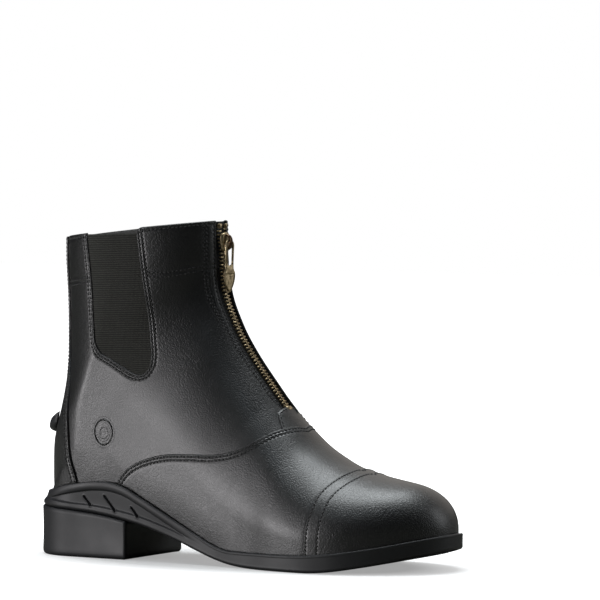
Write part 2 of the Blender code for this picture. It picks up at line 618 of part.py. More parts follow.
def make_heel():
    """Solid rubber heel under the back of the sole, with a flat breast and a rounded bottom edge."""
    count = 16
    x = HEEL_BREAST_X * (1 - np.cos(np.linspace(0, np.pi / 2, count)))
    middle, half = plan(x, -0.4, -0.4, None)
    outer = np.stack([x, middle - half], -1)
    inner = np.stack([x, middle + half], -1)[1:][::-1]
    outline = np.concatenate([outer, inner])
    tangent = np.roll(outline, -1, 0) - np.roll(outline, 1, 0)
    normal = np.stack([tangent[:, 1], -tangent[:, 0]], -1)
    normal /= np.linalg.norm(normal, axis=1, keepdims=True)
    normal[count - 1] = (0.35, -0.94)
    normal[count] = (0.35, 0.94)
    top = level(outline[:, 0], UNDERSIDE) - GAP

    def ring(inset, height):
        return np.concatenate([outline - normal * inset,
                               np.broadcast_to(height, len(outline)).reshape(-1, 1)], 1)

    rings = [ring(2.2, 0.0), ring(0.7, 0.6), ring(0.0, 2.0), ring(0.0, top)]
    total = len(outline)
    points = np.concatenate(rings)
    faces = []
    for k in range(len(rings) - 1):
        a, b = k * total, (k + 1) * total
        faces += [[a + i, a + (i + 1) % total, b + (i + 1) % total, b + i] for i in range(total)]
    for base, flip in ((0, True), ((len(rings) - 1) * total, False)):
        for i in range(count - 1):
            across = [base + i, base + i + 1, base + total - i - 1, base + (total - i) % total]
            across = list(dict.fromkeys(across))
            faces.append(across[::-1] if flip else across)
    return material(mesh_object("heel", points, faces), RUBBER, 0.55)


def make_insole():
    """Padded insole on the footbed inside the upper."""
    count = 26
    clearance = WALL + 0.9
    outline = outline_points(count, LIP + clearance, HEEL_CORNER_X + clearance,
                             UPPER_TOE_X - clearance)
    normal = outward(outline)
    rings = []
    for inset, rise in ((0.0, 0.0), (0.0, 2.2), (0.8, INSOLE_THICK)):
        flat = outline - normal * inset
        height = level(flat[:, 0], FOOTBED) + INSOLE_LIFT + rise
        rings.append(np.concatenate([flat, height.reshape(-1, 1)], 1))
    return material(stacked("insole", rings, count), (0.10, 0.085, 0.07), 0.8)


def make_spur_rest():
    """Small rubber ledge on the back seam that keeps a spur from sliding down."""
    across = np.linspace(-1, 1, 13)
    heights = np.array([70.6, 72.0, 76.4, 77.8])
    u = 1 + (heights - SHAFT[0, BACK_Z]) / (COLLAR_BACK_Z - SHAFT[0, BACK_Z])
    seat = BACKSTAY_FACES[1] + GAP
    points = []
    for face in (0, 1):
        for i, height in enumerate(u):
            for s in across:
                v = (1 - 0.17 * abs(s)) * (-1 if s <= 0 else 1)
                at = np.array([height]), np.array([v])
                base, out = face_point(*at)[0], face_normal(*at)[0]
                reach = 1.2 + 5.4 * (1 - abs(s)**2.2)
                reach = reach if i in (1, 2) else reach - 1.2
                points.append(base + out * (seat + (reach if face else 0.0)))
    m, n = len(u), len(across)
    faces = []
    for face in (0, 1):
        for i in range(m - 1):
            for j in range(n - 1):
                a = face * m * n + i * n + j
                faces.append([a, a + 1, a + n + 1, a + n])
    for i in range(m - 1):
        for j in (0, n - 1):
            a = i * n + j
            faces.append([a, a + n, a + n + m * n, a + m * n])
    for j in range(n - 1):
        for i in (0, m - 1):
            a = i * n + j
            faces.append([a, a + 1, a + 1 + m * n, a + m * n])
    return material(mesh_object("spur_rest", points, faces), RUBBER, 0.5)


def box_on_ridge(name, at, out_from, out_to, up_from, up_to, y, half, bevel=0.0):
    """Small block on the front ridge, at a length from the zip's end, with bevelled edges."""
    centre, out, up, _ = front_line(np.array([at]))
    corners = [centre[0] + out[0] * o + up[0] * p + (0.0, y + side * half, 0.0)
               for o in (out_from, out_to) for p in (up_from, up_to) for side in (-1, 1)]
    faces = [[0, 1, 3, 2], [4, 6, 7, 5], [0, 4, 5, 1], [2, 3, 7, 6], [0, 2, 6, 4], [1, 5, 7, 3]]
    block = mesh_object(name, corners, faces)
    if bevel:
        bm = bmesh.new()
        bm.from_mesh(block.data)
        bmesh.ops.dissolve_limit(bm, angle_limit=0.02, verts=bm.verts, edges=bm.edges)
        bmesh.ops.bevel(bm, geom=bm.edges, offset=bevel * MM, segments=1, affect="EDGES",
                        profile=0.5)
        bm.to_mesh(block.data)
        bm.free()
    return block


def make_zip():
    """Tape, chain, stops, slider and the hinged pull."""
    top = front_line(np.zeros(1))[3]
    tape = ridge_strip("zip_tape", GAP, top - 1.0, SLOT_HALF - GAP, TAPE_FACES)
    material(tape, TAPE, 0.9)
    chain = ridge_strip("zip_chain", 6.0, top - 7.5, CHAIN_HALF, CHAIN_FACES)
    material(chain, BRASS, 0.35, 0.9)
    on_tape = TAPE_FACES[1] + GAP
    stop = box_on_ridge("zip_bottom_stop", 4.2, on_tape, 1.6, -1.4, 1.4, 0.0, 3.0, 0.3)
    material(stop, BRASS, 0.35, 0.9)
    for name, y in (("zip_top_stop_outer", -2.4), ("zip_top_stop_inner", 2.4)):
        stop = box_on_ridge(name, top - 4.5, on_tape, 1.6, -1.8, 1.8, y, 1.0, 0.3)
        material(stop, BRASS, 0.35, 0.9)

    plate_low = CHAIN_FACES[1] + GAP
    at = top - SLIDER_DOWN
    slider = box_on_ridge("zip_slider", at, plate_low, plate_low + 1.2, -6.0, 5.5, 0.0, 4.4, 0.5)
    for name, low, high, up_from, up_to in (("post_low", 0.6, 4.4, -5.0, -3.4),
                                            ("post_high", 0.6, 4.4, 3.2, 4.8),
                                            ("arch", 4.1, 5.3, -5.0, 4.8)):
        bar = box_on_ridge(name, at, plate_low + low, plate_low + high, up_from, up_to, 0.0, 1.5)
        combine(slider, bar, "UNION")
    material(slider, BRASS, 0.32, 0.9)

    # the pull hangs from its pin inside the slider's arch, parallel to the front of the shaft
    centre, out, up = (vector[0] for vector in front_line(np.array([at]))[:3])
    axis = centre + out * PULL_AXIS_OUT
    rows = np.array([  # distance below the pin, half width
        (-1.3, 2.4), (-0.6, 3.6), (2.0, 3.9), (9.0, 3.4), (14.0, 3.1), (16.2, 3.4), (17.6, 4.3),
        (19.5, 4.6), (22.5, 4.3), (25.5, 3.2), (28.0, 1.8), (PULL_LENGTH - 0.5, 0.6)])
    outline = [(-d, -w) for d, w in rows] + [(-d, w) for d, w in rows[::-1]]
    n = len(outline)
    points = [axis + up * p + np.array((0.0, y, 0.0)) + out * o
              for o in (-PULL_THICK / 2, PULL_THICK / 2) for p, y in outline]
    faces = [list(range(n)), list(range(2 * n - 1, n - 1, -1))]
    faces += [[i, i + n, (i + 1) % n + n, (i + 1) % n] for i in range(n)]
    pull = mesh_object("zip_pull", points, faces)
    window = [(-0.6, -2.2), (-13.4, -1.7), (-13.4, 1.7), (-0.6, 2.2)]
    points = [axis + up * p + np.array((0.0, y, 0.0)) + out * o
              for o in (-2.0, 2.0) for p, y in window]
    faces = [[0, 1, 2, 3], [7, 6, 5, 4]] + [[i, i + 4, (i + 1) % 4 + 4, (i + 1) % 4]
                                            for i in range(4)]
    hole = mesh_object("window", points, faces)
    combine(pull, hole, "DIFFERENCE")
    material(pull, BRASS, 0.3, 0.9)
    pin = Vector((axis - (ORIGIN_X, ORIGIN_Y, 0.0)) * MM)
    pull.data.transform(Matrix.Translation(-pin))
    hinge = bpy.data.objects.new("pull_hinge", None)
    bpy.context.scene.collection.objects.link(hinge)
    hinge.location = pin
    pull.parent = hinge


for old in list(bpy.data.objects):
    bpy.data.objects.remove(old)
make_upper()
make_overlays()
make_gores()
make_outsole()
make_heel()
make_insole()
make_spur_rest()
make_zip()
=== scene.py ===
"""Looks of a right paddock boot: zip front, elastic side gores, rubber sole with a block heel.

Lengths are millimetres until a mesh is made: x runs from the back of the sole to the toe, y is
negative on the outer side of the foot, and z is the height above the floor.
"""
import math

import bmesh
import bpy
import numpy as np
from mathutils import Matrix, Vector


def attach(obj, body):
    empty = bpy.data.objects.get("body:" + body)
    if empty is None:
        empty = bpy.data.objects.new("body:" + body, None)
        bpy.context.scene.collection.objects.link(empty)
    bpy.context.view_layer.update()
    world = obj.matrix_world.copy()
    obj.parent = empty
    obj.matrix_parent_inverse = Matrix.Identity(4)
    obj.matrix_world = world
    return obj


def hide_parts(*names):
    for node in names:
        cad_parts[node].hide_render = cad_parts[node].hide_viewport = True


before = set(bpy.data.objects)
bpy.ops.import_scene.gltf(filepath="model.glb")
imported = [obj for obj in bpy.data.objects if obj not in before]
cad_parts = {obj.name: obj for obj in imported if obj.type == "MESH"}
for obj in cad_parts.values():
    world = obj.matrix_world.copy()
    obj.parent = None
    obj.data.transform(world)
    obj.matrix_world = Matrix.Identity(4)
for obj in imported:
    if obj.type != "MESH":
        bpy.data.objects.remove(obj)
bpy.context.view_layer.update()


# The quarters: the two leather sides that wrap the heel and ankle, lasted over a foot-shaped
# block. Their cut edges are folded and stitched round the gore, along the collar and down the
# zip. The tables below are the sections of that block, the last.
MM = 0.001
ORIGIN = np.array([135.64, -0.54, 0.0])     # middle of the boot's box
SOLE_LENGTH = 271.5
GAP = 0.3
LIP = 3.6                                   # land of the sole outside the foot of the upper
UPPER_TOE_X = 267.4
HEEL_CORNER_X = 5.4
COLLAR_BACK_Z = 189.5
TOE_ROUND, TOE_ROUND_POWER = 40.0, 2.6
TOE_PLAN, TOE_PLAN_POWER = 58.0, 2.3
HEEL_PLAN, HEEL_PLAN_POWER = 30.0, 2.2
LOWER_ARC_POWER, BACK_ARC_POWER = 2.2, 1.7     # along the foot and round the back
BACK_FROM = 0.86                            # u where the back's rounding begins
ARC_END, SIDE_END = 0.50, 0.62
SWING = np.array([(0.0, 0.0), (100.0, 0.0), (150.0, 0.0), (271.5, 6.0)])   # x, middle of the last
FOOT_MORE = 0.05                            # least room between the foot and the widest place

# Outline of the sole in plan: x, middle, half width
PLAN = np.array([
    (0, 0.0, 31.6), (29, 0.0, 31.9), (59, -0.6, 31.9), (84, -1.8, 31.5), (109, -3.2, 31.6),
    (134, -3.6, 34.2), (159, -2.8, 39.6), (181, -1.8, 45.2), (199, -1.2, 47.2),
    (217, -0.2, 46.4), (234, 1.8, 44.2), (252, 4.0, 41.0), (271.5, 6.0, 37.0)])

# Heights along the sole: x, underside, footbed, rim of the side wall
UNDERSIDE, FOOTBED, RIM = 1, 2, 3
SOLE = np.array([
    (0, 29.5, 31.0, 37.0), (14, 29.0, 31.0, 39.5), (35, 27.8, 31.0, 43.9), (50, 26.5, 30.3, 45.8),
    (61, 25.0, 29.0, 45.5), (71.4, 23.0, 27.2, 42.8), (80.5, 21.1, 25.0, 38.4),
    (95.5, 16.9, 20.8, 30.8), (110.5, 12.0, 16.3, 23.2), (123, 7.5, 12.2, 17.2),
    (134, 4.0, 9.6, 12.2), (143, 1.9, 8.2, 9.9), (154, 0.5, 7.6, 9.5), (166, 0.0, 7.4, 9.6),
    (184, 0.0, 7.5, 9.8), (202, 0.0, 8.0, 10.4), (216, 1.1, 9.2, 11.7), (230, 3.3, 11.2, 13.7),
    (246, 6.4, 14.0, 16.5), (259, 9.6, 17.0, 19.3), (271.5, 12.4, 19.6, 21.9)])

# Sections that stand on the sole: x on the sole, x and z on the ridge, half widths outside and
# inside, shares of height where the lower arc ends and the upper one begins, power of the crown
FOOT = np.array([
    (267.4, 267.4, 48.8, 33.6, 33.6, 0.18, 0.26, 2.30),
    (251.0, 251.0, 49.2, 37.8, 37.8, 0.18, 0.26, 2.30),
    (234.0, 233.5, 49.9, 41.0, 41.0, 0.17, 0.25, 2.25),
    (218.0, 216.5, 53.5, 42.9, 42.9, 0.16, 0.23, 2.15),
    (203.0, 200.3, 59.5, 43.9, 43.5, 0.15, 0.21, 2.00),
    (190.0, 185.6, 68.3, 43.5, 42.6, 0.14, 0.20, 1.90),
    (178.0, 174.6, 78.1, 42.1, 40.6, 0.14, 0.20, 1.85),
    (162.0, 163.3, 90.8, 39.0, 36.6, 0.15, 0.21, 1.80),
    (145.0, 152.0, 104.8, 36.3, 33.3, 0.17, 0.24, 1.85),
    (126.0, 141.0, 119.0, 34.3, 31.4, 0.20, 0.28, 1.85),
    (105.0, 132.0, 132.2, 32.9, 30.6, 0.22, 0.33, 1.90),
    (81.0, 125.8, 144.2, 31.8, 30.4, 0.24, 0.38, 1.95),
    (55.0, 122.2, 152.8, 31.0, 30.5, 0.255, 0.428, 1.98),
    (29.0, 120.4, 159.3, 30.7, 30.6, 0.265, 0.482, 2.00),
    (5.4, 119.5, 164.3, 30.7, 30.7, 0.275, 0.532, 2.00)])

# Sections that start on the back seam: z and x on the seam, then as above
SHAFT = np.array([
    (31.3, 5.4, 119.5, 164.3, 30.7, 30.7, 0.275, 0.532, 2.00),
    (45.0, 5.0, 119.25, 167.5, 30.7, 30.7, 0.285, 0.520, 2.00),
    (62.0, 5.4, 119.05, 170.9, 30.8, 30.8, 0.302, 0.508, 2.00),
    (83.0, 10.3, 118.8, 174.3, 31.0, 31.0, 0.33, 0.499, 2.00),
    (98.0, 13.3, 118.7, 177.5, 31.3, 31.3, 0.36, 0.502, 2.02),
    (112.0, 14.9, 118.6, 180.3, 31.7, 31.7, 0.39, 0.506, 2.03),
    (134.0, 15.2, 118.5, 185.0, 32.1, 32.1, 0.43, 0.512, 2.05),
    (153.0, 14.7, 118.4, 190.0, 32.3, 32.3, 0.45, 0.517, 2.08),
    (177.0, 13.4, 118.3, 196.7, 32.4, 32.4, 0.46, 0.52, 2.10),
    (189.5, 13.4, 118.3, 200.3, 32.4, 32.4, 0.46, 0.52, 2.10)])

# Seam lines seen from the side, x and z
VAMP_EDGE = np.array([
    (60.0, 27.0), (62.0, 38.0), (65.7, 47.5), (70.6, 53.2), (77.7, 57.6), (88.3, 61.4),
    (98.0, 63.4), (115.0, 64.4), (132.5, 64.8), (143.0, 66.6), (152.5, 70.2), (161.0, 75.4),
    (168.0, 79.4), (173.0, 81.0)])
CAP_EDGE = np.array([(200.5, 0.0), (200.5, 12.0), (201.5, 30.0), (204.0, 45.0), (209.5, 55.5),
                     (216.0, 66.0)])
BACKSTAY_EDGE = np.array([
    (37.5, 30.0), (36.0, 44.7), (31.5, 59.4), (29.0, 80.0), (26.6, 98.0), (22.5, 115.0),
    (19.3, 135.0), (18.2, 153.0), (18.0, 172.0), (18.0, 200.0)])
GORE_OUTLINE = np.array([
    (41.2, 205.0), (41.2, 192.0), (45.7, 162.3), (48.0, 137.6), (49.6, 127.5), (53.5, 121.8),
    (60.2, 118.4), (72.0, 112.2), (77.4, 109.9), (82.0, 110.4), (85.4, 114.0), (86.4, 120.0),
    (85.6, 130.5), (83.2, 155.1), (81.0, 171.5), (79.0, 187.9), (77.4, 205.0)])
ZIP_END_X = 162.0
SLOT_HALF = 5.6

# Creases pressed in, seen from the side: x and z of the middle, length, half width,
# slant in degrees, height (a trough is below zero)
CREASES = ((150.0, 84.0, 34.0, 4.4, 62.0, -0.16), (157.0, 78.0, 30.0, 4.2, 58.0, 0.10),
           (176.0, 62.0, 44.0, 6.0, 70.0, -0.22), (187.0, 52.0, 40.0, 5.6, 74.0, 0.14),
           (113.0, 100.0, 50.0, 8.0, 34.0, -0.16), (96.0, 88.0, 44.0, 8.5, 18.0, 0.12))


def smooth(xs, ys, x):
    """Cubic through the rows of a table; the slope at a row is the mean of its neighbours'."""
    if xs[0] > xs[-1]:
        xs, ys = xs[::-1], ys[::-1]
    x = np.clip(np.asarray(x, float), xs[0], xs[-1])
    step = np.diff(xs)
    slope = np.diff(ys) / step
    tangent = np.empty(len(ys))
    tangent[1:-1] = (slope[:-1] * step[1:] + slope[1:] * step[:-1]) / (step[:-1] + step[1:])
    tangent[0], tangent[-1] = slope[0], slope[-1]
    i = np.clip(np.searchsorted(xs, x, side="right") - 1, 0, len(xs) - 2)
    t = (x - xs[i]) / step[i]
    return ((2 * t**3 - 3 * t**2 + 1) * ys[i] + (t**3 - 2 * t**2 + t) * step[i] * tangent[i]
            + (3 * t**2 - 2 * t**3) * ys[i + 1] + (t**3 - t**2) * step[i] * tangent[i + 1])


def rounding(distance, power):
    """Quarter of a superellipse: 0 at the very end, 1 from distance 1 on."""
    d = np.clip(distance, 0, 1)
    return (1 - (1 - d)**power)**(1 / power)


def ease(t):
    """Smooth step from 0 to 1."""
    t = np.clip(t, 0, 1)
    return t * t * (3 - 2 * t)


def lengths(points):
    """Distance along a line of points at each of them: the running sum of its steps."""
    return np.concatenate([[0], np.cumsum(np.linalg.norm(np.diff(points, axis=0), axis=1))])


def plan(x, inset=0.0, back=None, front=None):
    """Middle and half width of the sole's outline drawn in by inset, between two ends."""
    back = inset if back is None else back
    front = SOLE_LENGTH - inset if front is None else front
    half = smooth(PLAN[:, 0], PLAN[:, 2], x) - inset
    half = half * rounding((x - back) / HEEL_PLAN, HEEL_PLAN_POWER)
    half = half * rounding((front - x) / TOE_PLAN, TOE_PLAN_POWER)
    return smooth(PLAN[:, 0], PLAN[:, 1], x), half


def level(x, column):
    """Height of the sole's underside, footbed or rim at x, never below the floor."""
    return np.maximum(smooth(SOLE[:, 0], SOLE[:, column], x), 0.0)


def section(u):
    """Values of the last's section at u: 0 at the toe, 1 at the heel corner, 2 at the collar."""
    on_foot = u <= 1
    foot_x = (HEEL_CORNER_X + (UPPER_TOE_X - HEEL_CORNER_X)
              * (1 + np.cos(np.pi * np.clip(u, 0, 1))) / 2)
    low = SHAFT[0, 0]
    back_z = low + (COLLAR_BACK_Z - low) * np.clip(u - 1, 0, 1)

    def column(k, factor=1.0):
        foot = smooth(FOOT[:, 0], FOOT[:, k], foot_x) * factor
        return np.where(on_foot, foot, smooth(SHAFT[:, 0], SHAFT[:, k + 1], back_z))

    floor = level(foot_x, FOOTBED) + GAP
    toe_height = rounding((UPPER_TOE_X - foot_x) / TOE_ROUND, TOE_ROUND_POWER)
    toe_width = rounding((UPPER_TOE_X - foot_x) / TOE_PLAN, TOE_PLAN_POWER)
    s = {"foot_x": np.where(on_foot, foot_x, smooth(SHAFT[:, 0], SHAFT[:, 1], back_z)),
         "foot_z": np.where(on_foot, floor, back_z), "top_x": column(1),
         "outer": column(3, toe_width), "inner": column(4, toe_width),
         "low_arc": column(5), "high_arc": column(6), "crown": column(7)}
    ridge = floor + (smooth(FOOT[:, 0], FOOT[:, 2], foot_x) - floor) * toe_height
    s["top_z"] = np.where(on_foot, ridge, column(2))
    back_part = ease((u - BACK_FROM) / (1 - BACK_FROM))
    s["low_power"] = LOWER_ARC_POWER + (BACK_ARC_POWER - LOWER_ARC_POWER) * back_part
    s["middle"] = np.where(on_foot, smooth(*SWING.T, foot_x), 0.0)
    middle, half = plan(foot_x, LIP, HEEL_CORNER_X, UPPER_TOE_X)
    open_foot = on_foot & (foot_x > HEEL_CORNER_X) & (foot_x < UPPER_TOE_X)
    for side, sign in (("foot_outer", -1), ("foot_inner", 1)):
        half_foot = np.clip(half + sign * (middle - s["middle"]), 0, None)
        s[side] = np.where(open_foot, half_foot, 0.0)
    return s


def face_point(u, v):
    """Point on the last: v is -1 at the foot of the outer side, 0 on the ridge, 1 inside.

    From the ridge down, a section is an arc that widens to the full half width, a straight side,
    and a lower arc that draws in to the foot, or closes on the back seam.
    """
    s = section(u)
    t = np.abs(v)
    wide = np.where(v < 0, s["outer"], s["inner"])
    foot = np.where(v < 0, s["foot_outer"], s["foot_inner"])
    wide = np.maximum(wide, foot + FOOT_MORE)
    up = np.sin(np.pi / 2 * (1 - np.clip(t / ARC_END, 0, 1)))
    high_share = s["high_arc"] + (1 - s["high_arc"]) * up
    high_wide = wide * np.sqrt(np.clip(1 - up**s["crown"], 0, 1))
    side = np.clip((t - ARC_END) / (SIDE_END - ARC_END), 0, 1)
    side_share = s["high_arc"] + (s["low_arc"] - s["high_arc"]) * side
    low = np.clip((t - SIDE_END) / (1 - SIDE_END), 0, 1)
    used = (1 - np.clip(foot / wide, 0, 1)**s["low_power"])**(1 / s["low_power"])
    used = np.maximum(used, 1e-6)
    down = np.sin(np.arcsin(np.clip(used, 0, 1)) * low)
    low_share = s["low_arc"] * (1 - down / used)
    low_wide = wide * np.clip(1 - down**s["low_power"], 0, 1)**(1 / s["low_power"])
    share = np.where(t <= ARC_END, high_share, np.where(t <= SIDE_END, side_share, low_share))
    y = np.where(t <= ARC_END, high_wide, np.where(t <= SIDE_END, wide, low_wide))
    x = s["foot_x"] + (s["top_x"] - s["foot_x"]) * share
    z = s["foot_z"] + (s["top_z"] - s["foot_z"]) * share
    return np.stack([x, s["middle"] + np.where(v < 0, -y, y), z], -1)


def face_normal(u, v):
    """Unit normal of the last, pointing out, from small steps along u and v."""
    step = 2e-3
    along = face_point(np.clip(u + step, 0, 2), v) - face_point(np.clip(u - step, 0, 2), v)
    across = face_point(u, np.clip(v + step, -1, 1)) - face_point(u, np.clip(v - step, -1, 1))
    n = np.cross(across, along)
    seam = (np.abs(v) >= 1) & (u >= 1)
    n[seam, 1] = 0.0
    n[u <= 0] = (1.0, 0.0, 0.0)
    return n / np.maximum(np.linalg.norm(n, axis=-1, keepdims=True), 1e-12)


def on_last(x, z, side):
    """(u, v) of the place seen at x, z from one side of the boot.

    In side view a section is a straight line, so u is where the point lies on its section's line,
    and the share of height up that line gives v by undoing the arcs. Side is -1 for the outer.
    """
    x, z = np.broadcast_arrays(np.asarray(x, float), np.asarray(z, float))
    shape = x.shape
    x, z = x.ravel(), z.ravel()
    u = np.linspace(0, 2, 1801)
    s = section(u)
    turn = ((x[:, None] - s["foot_x"]) * (s["top_z"] - s["foot_z"])
            - (z[:, None] - s["foot_z"]) * (s["top_x"] - s["foot_x"]))
    k = np.clip(np.argmax(turn > 0, axis=1), 1, len(u) - 1)
    k = np.where((turn > 0).any(axis=1), k, len(u) - 1)
    pick = np.arange(len(x))
    low, high = turn[pick, k - 1], turn[pick, k]
    u = u[k - 1] + (u[k] - u[k - 1]) * np.clip(low / np.where(low == high, -1, low - high), 0, 1)
    s = section(u)
    dx, dz = s["top_x"] - s["foot_x"], s["top_z"] - s["foot_z"]
    share = ((x - s["foot_x"]) * dx + (z - s["foot_z"]) * dz) / np.maximum(dx**2 + dz**2, 1e-9)
    share = np.clip(share, 0, 1)
    foot = s["foot_outer"] if side < 0 else s["foot_inner"]
    wide = np.maximum(s["outer"] if side < 0 else s["inner"], foot + FOOT_MORE)
    used = (1 - np.clip(foot / wide, 0, 1)**s["low_power"])**(1 / s["low_power"])
    up = np.clip((share - s["high_arc"]) / (1 - s["high_arc"]), 0, 1)
    down = np.clip(used * (1 - share / s["low_arc"]), 0, 1)
    side_part = (s["high_arc"] - share) / (s["high_arc"] - s["low_arc"])
    low = np.arcsin(down) / np.maximum(np.arcsin(np.clip(used, 0, 1)), 1e-6)
    t = np.where(share >= s["high_arc"], np.arccos(up) / np.pi,
                 np.where(share >= s["low_arc"], ARC_END + (SIDE_END - ARC_END) * side_part,
                          SIDE_END + (1 - SIDE_END) * low))
    return u.reshape(shape), (t * side).reshape(shape)


RUN_U = np.concatenate([1 - np.linspace(1, 0, 900)**2, np.linspace(1, 2, 700)[1:]])
RUN_V = -0.56                               # the runs are measured down the middle of the side
RUN = lengths(face_point(RUN_U, np.full(len(RUN_U), RUN_V)))
COLLAR = RUN[-1]


def run_at(u):
    """Real distance from the toe along the side of the last, a smoother measure than u."""
    return np.interp(u, RUN_U, RUN)


def u_at(run):
    """The u at a distance along the side."""
    return np.interp(run, RUN, RUN_U)


def seen(line, side):
    """A seam line of the side view as (run, v) rows on the last."""
    u, v = on_last(line[:, 0], line[:, 1], side)
    return np.stack([run_at(u), v], -1)


def through(line, count):
    """Evenly spaced points on the smooth curve through a seam line's table."""
    steps = lengths(line)
    at = np.linspace(0, steps[-1], count)
    return np.stack([smooth(steps, line[:, k], at) for k in range(line.shape[1])], -1)


def slot_v(u, half=SLOT_HALF):
    """The v at a distance of half from the ridge, by undoing the upper arc."""
    s = section(u)
    up = np.clip(1 - (half / s["outer"])**2, 0, 1)**(1 / s["crown"])
    return np.arccos(up) / np.pi


def creases(p):
    """Height of the creases: each is a bell across its width that fades along its length."""
    total = np.zeros(p.shape[:-1])
    for x, z, length, width, slant, height in CREASES:
        c, s = math.cos(math.radians(slant)), math.sin(math.radians(slant))
        along = ((p[..., 0] - x) * c + (p[..., 2] - z) * s) / (length / 2)
        across = ((p[..., 2] - z) * c - (p[..., 0] - x) * s) / width
        total += height * np.exp(-along**2 - across**2)
    return total


def skin(u, v, offset):
    """Points of the leather at an offset outwards from the last, with its creases."""
    p = face_point(u, v)
    return p + face_normal(u, v) * (offset + creases(p))[..., None]


EDGE = np.array([0, 0.1, 0.3, 0.6, 0.9, 1.25, 1.6, 1.95, 2.3, 2.7, 3.1, 3.45, 3.8, 4.15, 4.6, 5.4])
PLAIN = np.array([0.0, 0.1, 0.3, 0.6, 1.0])


def between(start, end, count, near=EDGE, far=PLAIN):
    """Grid of (run, v) from one border line to another, spaced by real distance on the last.

    Each border point is joined to its partner by a straight line in (run, v). Near and far are
    fixed distances from the two borders, and count more columns lie evenly between them.
    """
    share = np.linspace(0, 1, 61)
    fine = start[:, None] + (end - start)[:, None] * share[None, :, None]
    p = face_point(u_at(fine[..., 0]), fine[..., 1])
    run = np.linalg.norm(np.diff(p, axis=1), axis=-1)
    run = np.concatenate([np.zeros((len(run), 1)), np.cumsum(run, axis=1)], 1)
    total = np.maximum(run[:, -1:], near[-1] + far[-1] + 2.0)
    run = run * total / np.maximum(run[:, -1:], 1e-6)
    first, last = np.broadcast_to(near, (len(run), len(near))), total - far[::-1]
    gap = np.linspace(0, 1, count + 2)[1:-1]
    middle = first[:, -1:] + (last[:, :1] - first[:, -1:]) * gap
    want = np.concatenate([first, middle, last], 1)
    k = np.clip((run[:, None, :] <= want[:, :, None]).sum(-1) - 1, 0, len(share) - 2)
    low, high = np.take_along_axis(run, k, 1), np.take_along_axis(run, k + 1, 1)
    at = (k + np.clip((want - low) / np.maximum(high - low, 1e-9), 0, 1)) / (len(share) - 1)
    grid = start[:, None] + (end - start)[:, None] * at[..., None]
    return grid[..., 0], grid[..., 1], want, total - want


def closed(outer, inner, keep=None):
    """Faces of a sheet: outer grid, inner grid behind it, and a wall along every open border.

    Keep leaves quads out of both grids, for a hole; borders are the edges that one quad uses.
    """
    rows, columns = outer.shape[:2]
    k = np.arange(rows * columns).reshape(rows, columns)
    face = np.stack([k[:-1, :-1], k[:-1, 1:], k[1:, 1:], k[1:, :-1]], -1)
    face = face.reshape(-1, 4) if keep is None else face[keep]
    edges = face[:, [0, 1, 1, 2, 2, 3, 3, 0]].reshape(-1, 2)
    _, first, uses = np.unique(np.sort(edges, 1), axis=0, return_index=True, return_counts=True)
    rim = edges[first[uses == 1]]
    back = rows * columns
    side = np.stack([rim[:, 0], rim[:, 0] + back, rim[:, 1] + back, rim[:, 1]], -1)
    points = np.concatenate([outer.reshape(-1, 3), inner.reshape(-1, 3)])
    return points, np.concatenate([face, face[:, ::-1] + back, side])


def ringed(rings):
    """Points and faces of closed rings of equal count, each joined to the next all round."""
    rings = np.asarray(rings)
    k = np.arange(rings.shape[0] * rings.shape[1]).reshape(rings.shape[:2])
    ahead = np.roll(k, -1, 1)
    faces = np.stack([k[:-1], k[1:], ahead[1:], ahead[:-1]], -1)
    return rings.reshape(-1, 3), faces.reshape(-1, 4)


def piece(name, points, faces, finish, slot, replaces=(), body="boot", auto=None, **marks):
    """Object from millimetre points: doubles merged, normals outwards, smooth, riding on a body.

    Marks are float attributes for the material, one value a point.
    """
    mesh = bpy.data.meshes.new(name)
    mesh.from_pydata(((points - ORIGIN) * MM).tolist(), [], [list(f) for f in faces])
    for label, values in marks.items():
        mesh.attributes.new(label, "FLOAT", "POINT").data.foreach_set("value", values)
    bm = bmesh.new()
    bm.from_mesh(mesh)
    bmesh.ops.remove_doubles(bm, verts=bm.verts, dist=2e-6)
    bmesh.ops.dissolve_degenerate(bm, edges=bm.edges, dist=1e-7)
    bmesh.ops.delete(bm, geom=[p for p in bm.verts if not p.link_faces], context="VERTS")
    bmesh.ops.recalc_face_normals(bm, faces=bm.faces)
    bm.to_mesh(mesh)
    bm.free()
    mesh.shade_smooth()
    if auto:
        mesh.set_sharp_from_angle(angle=math.radians(auto))
    mesh.materials.append(finish)
    ob = bpy.data.objects.new(name, mesh)
    bpy.context.scene.collection.objects.link(ob)
    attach(ob, body)
    if replaces:
        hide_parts(*replaces)
    return ob


def fold(distance, radius):
    """Rounded edge: 0 at the border, 1 from a radius inwards, a quarter circle between."""
    return np.sqrt(1 - (1 - np.clip(distance / radius, 0, 1))**2)


def groove(distance, at, width=0.55):
    """Bell-shaped dent along a stitch row."""
    return np.exp(-((distance - at) / width)**2)


def grooves(distance, rows, width=0.55):
    """Dents of several stitch rows at their distances from an edge."""
    return sum(groove(distance, row, width) for row in rows)


def node(tree, kind, values=None, links=None, **settings):
    """Add a node, set its properties and inputs, and link its inputs from other sockets."""
    n = tree.nodes.new("ShaderNode" + kind)
    for key, value in settings.items():
        setattr(n, key, value)
    for key, value in (values or {}).items():
        n.inputs[key].default_value = value
    for key, socket in (links or {}).items():
        tree.links.new(socket, n.inputs[key])
    return n


def maths(tree, operation, a, b=None):
    """Math node on sockets or numbers; returns its output."""
    n = tree.nodes.new("ShaderNodeMath")
    n.operation = operation
    for k, value in enumerate((a, b)):
        if value is None:
            continue
        if isinstance(value, (int, float)):
            n.inputs[k].default_value = value
        else:
            tree.links.new(value, n.inputs[k])
    return n.outputs[0]


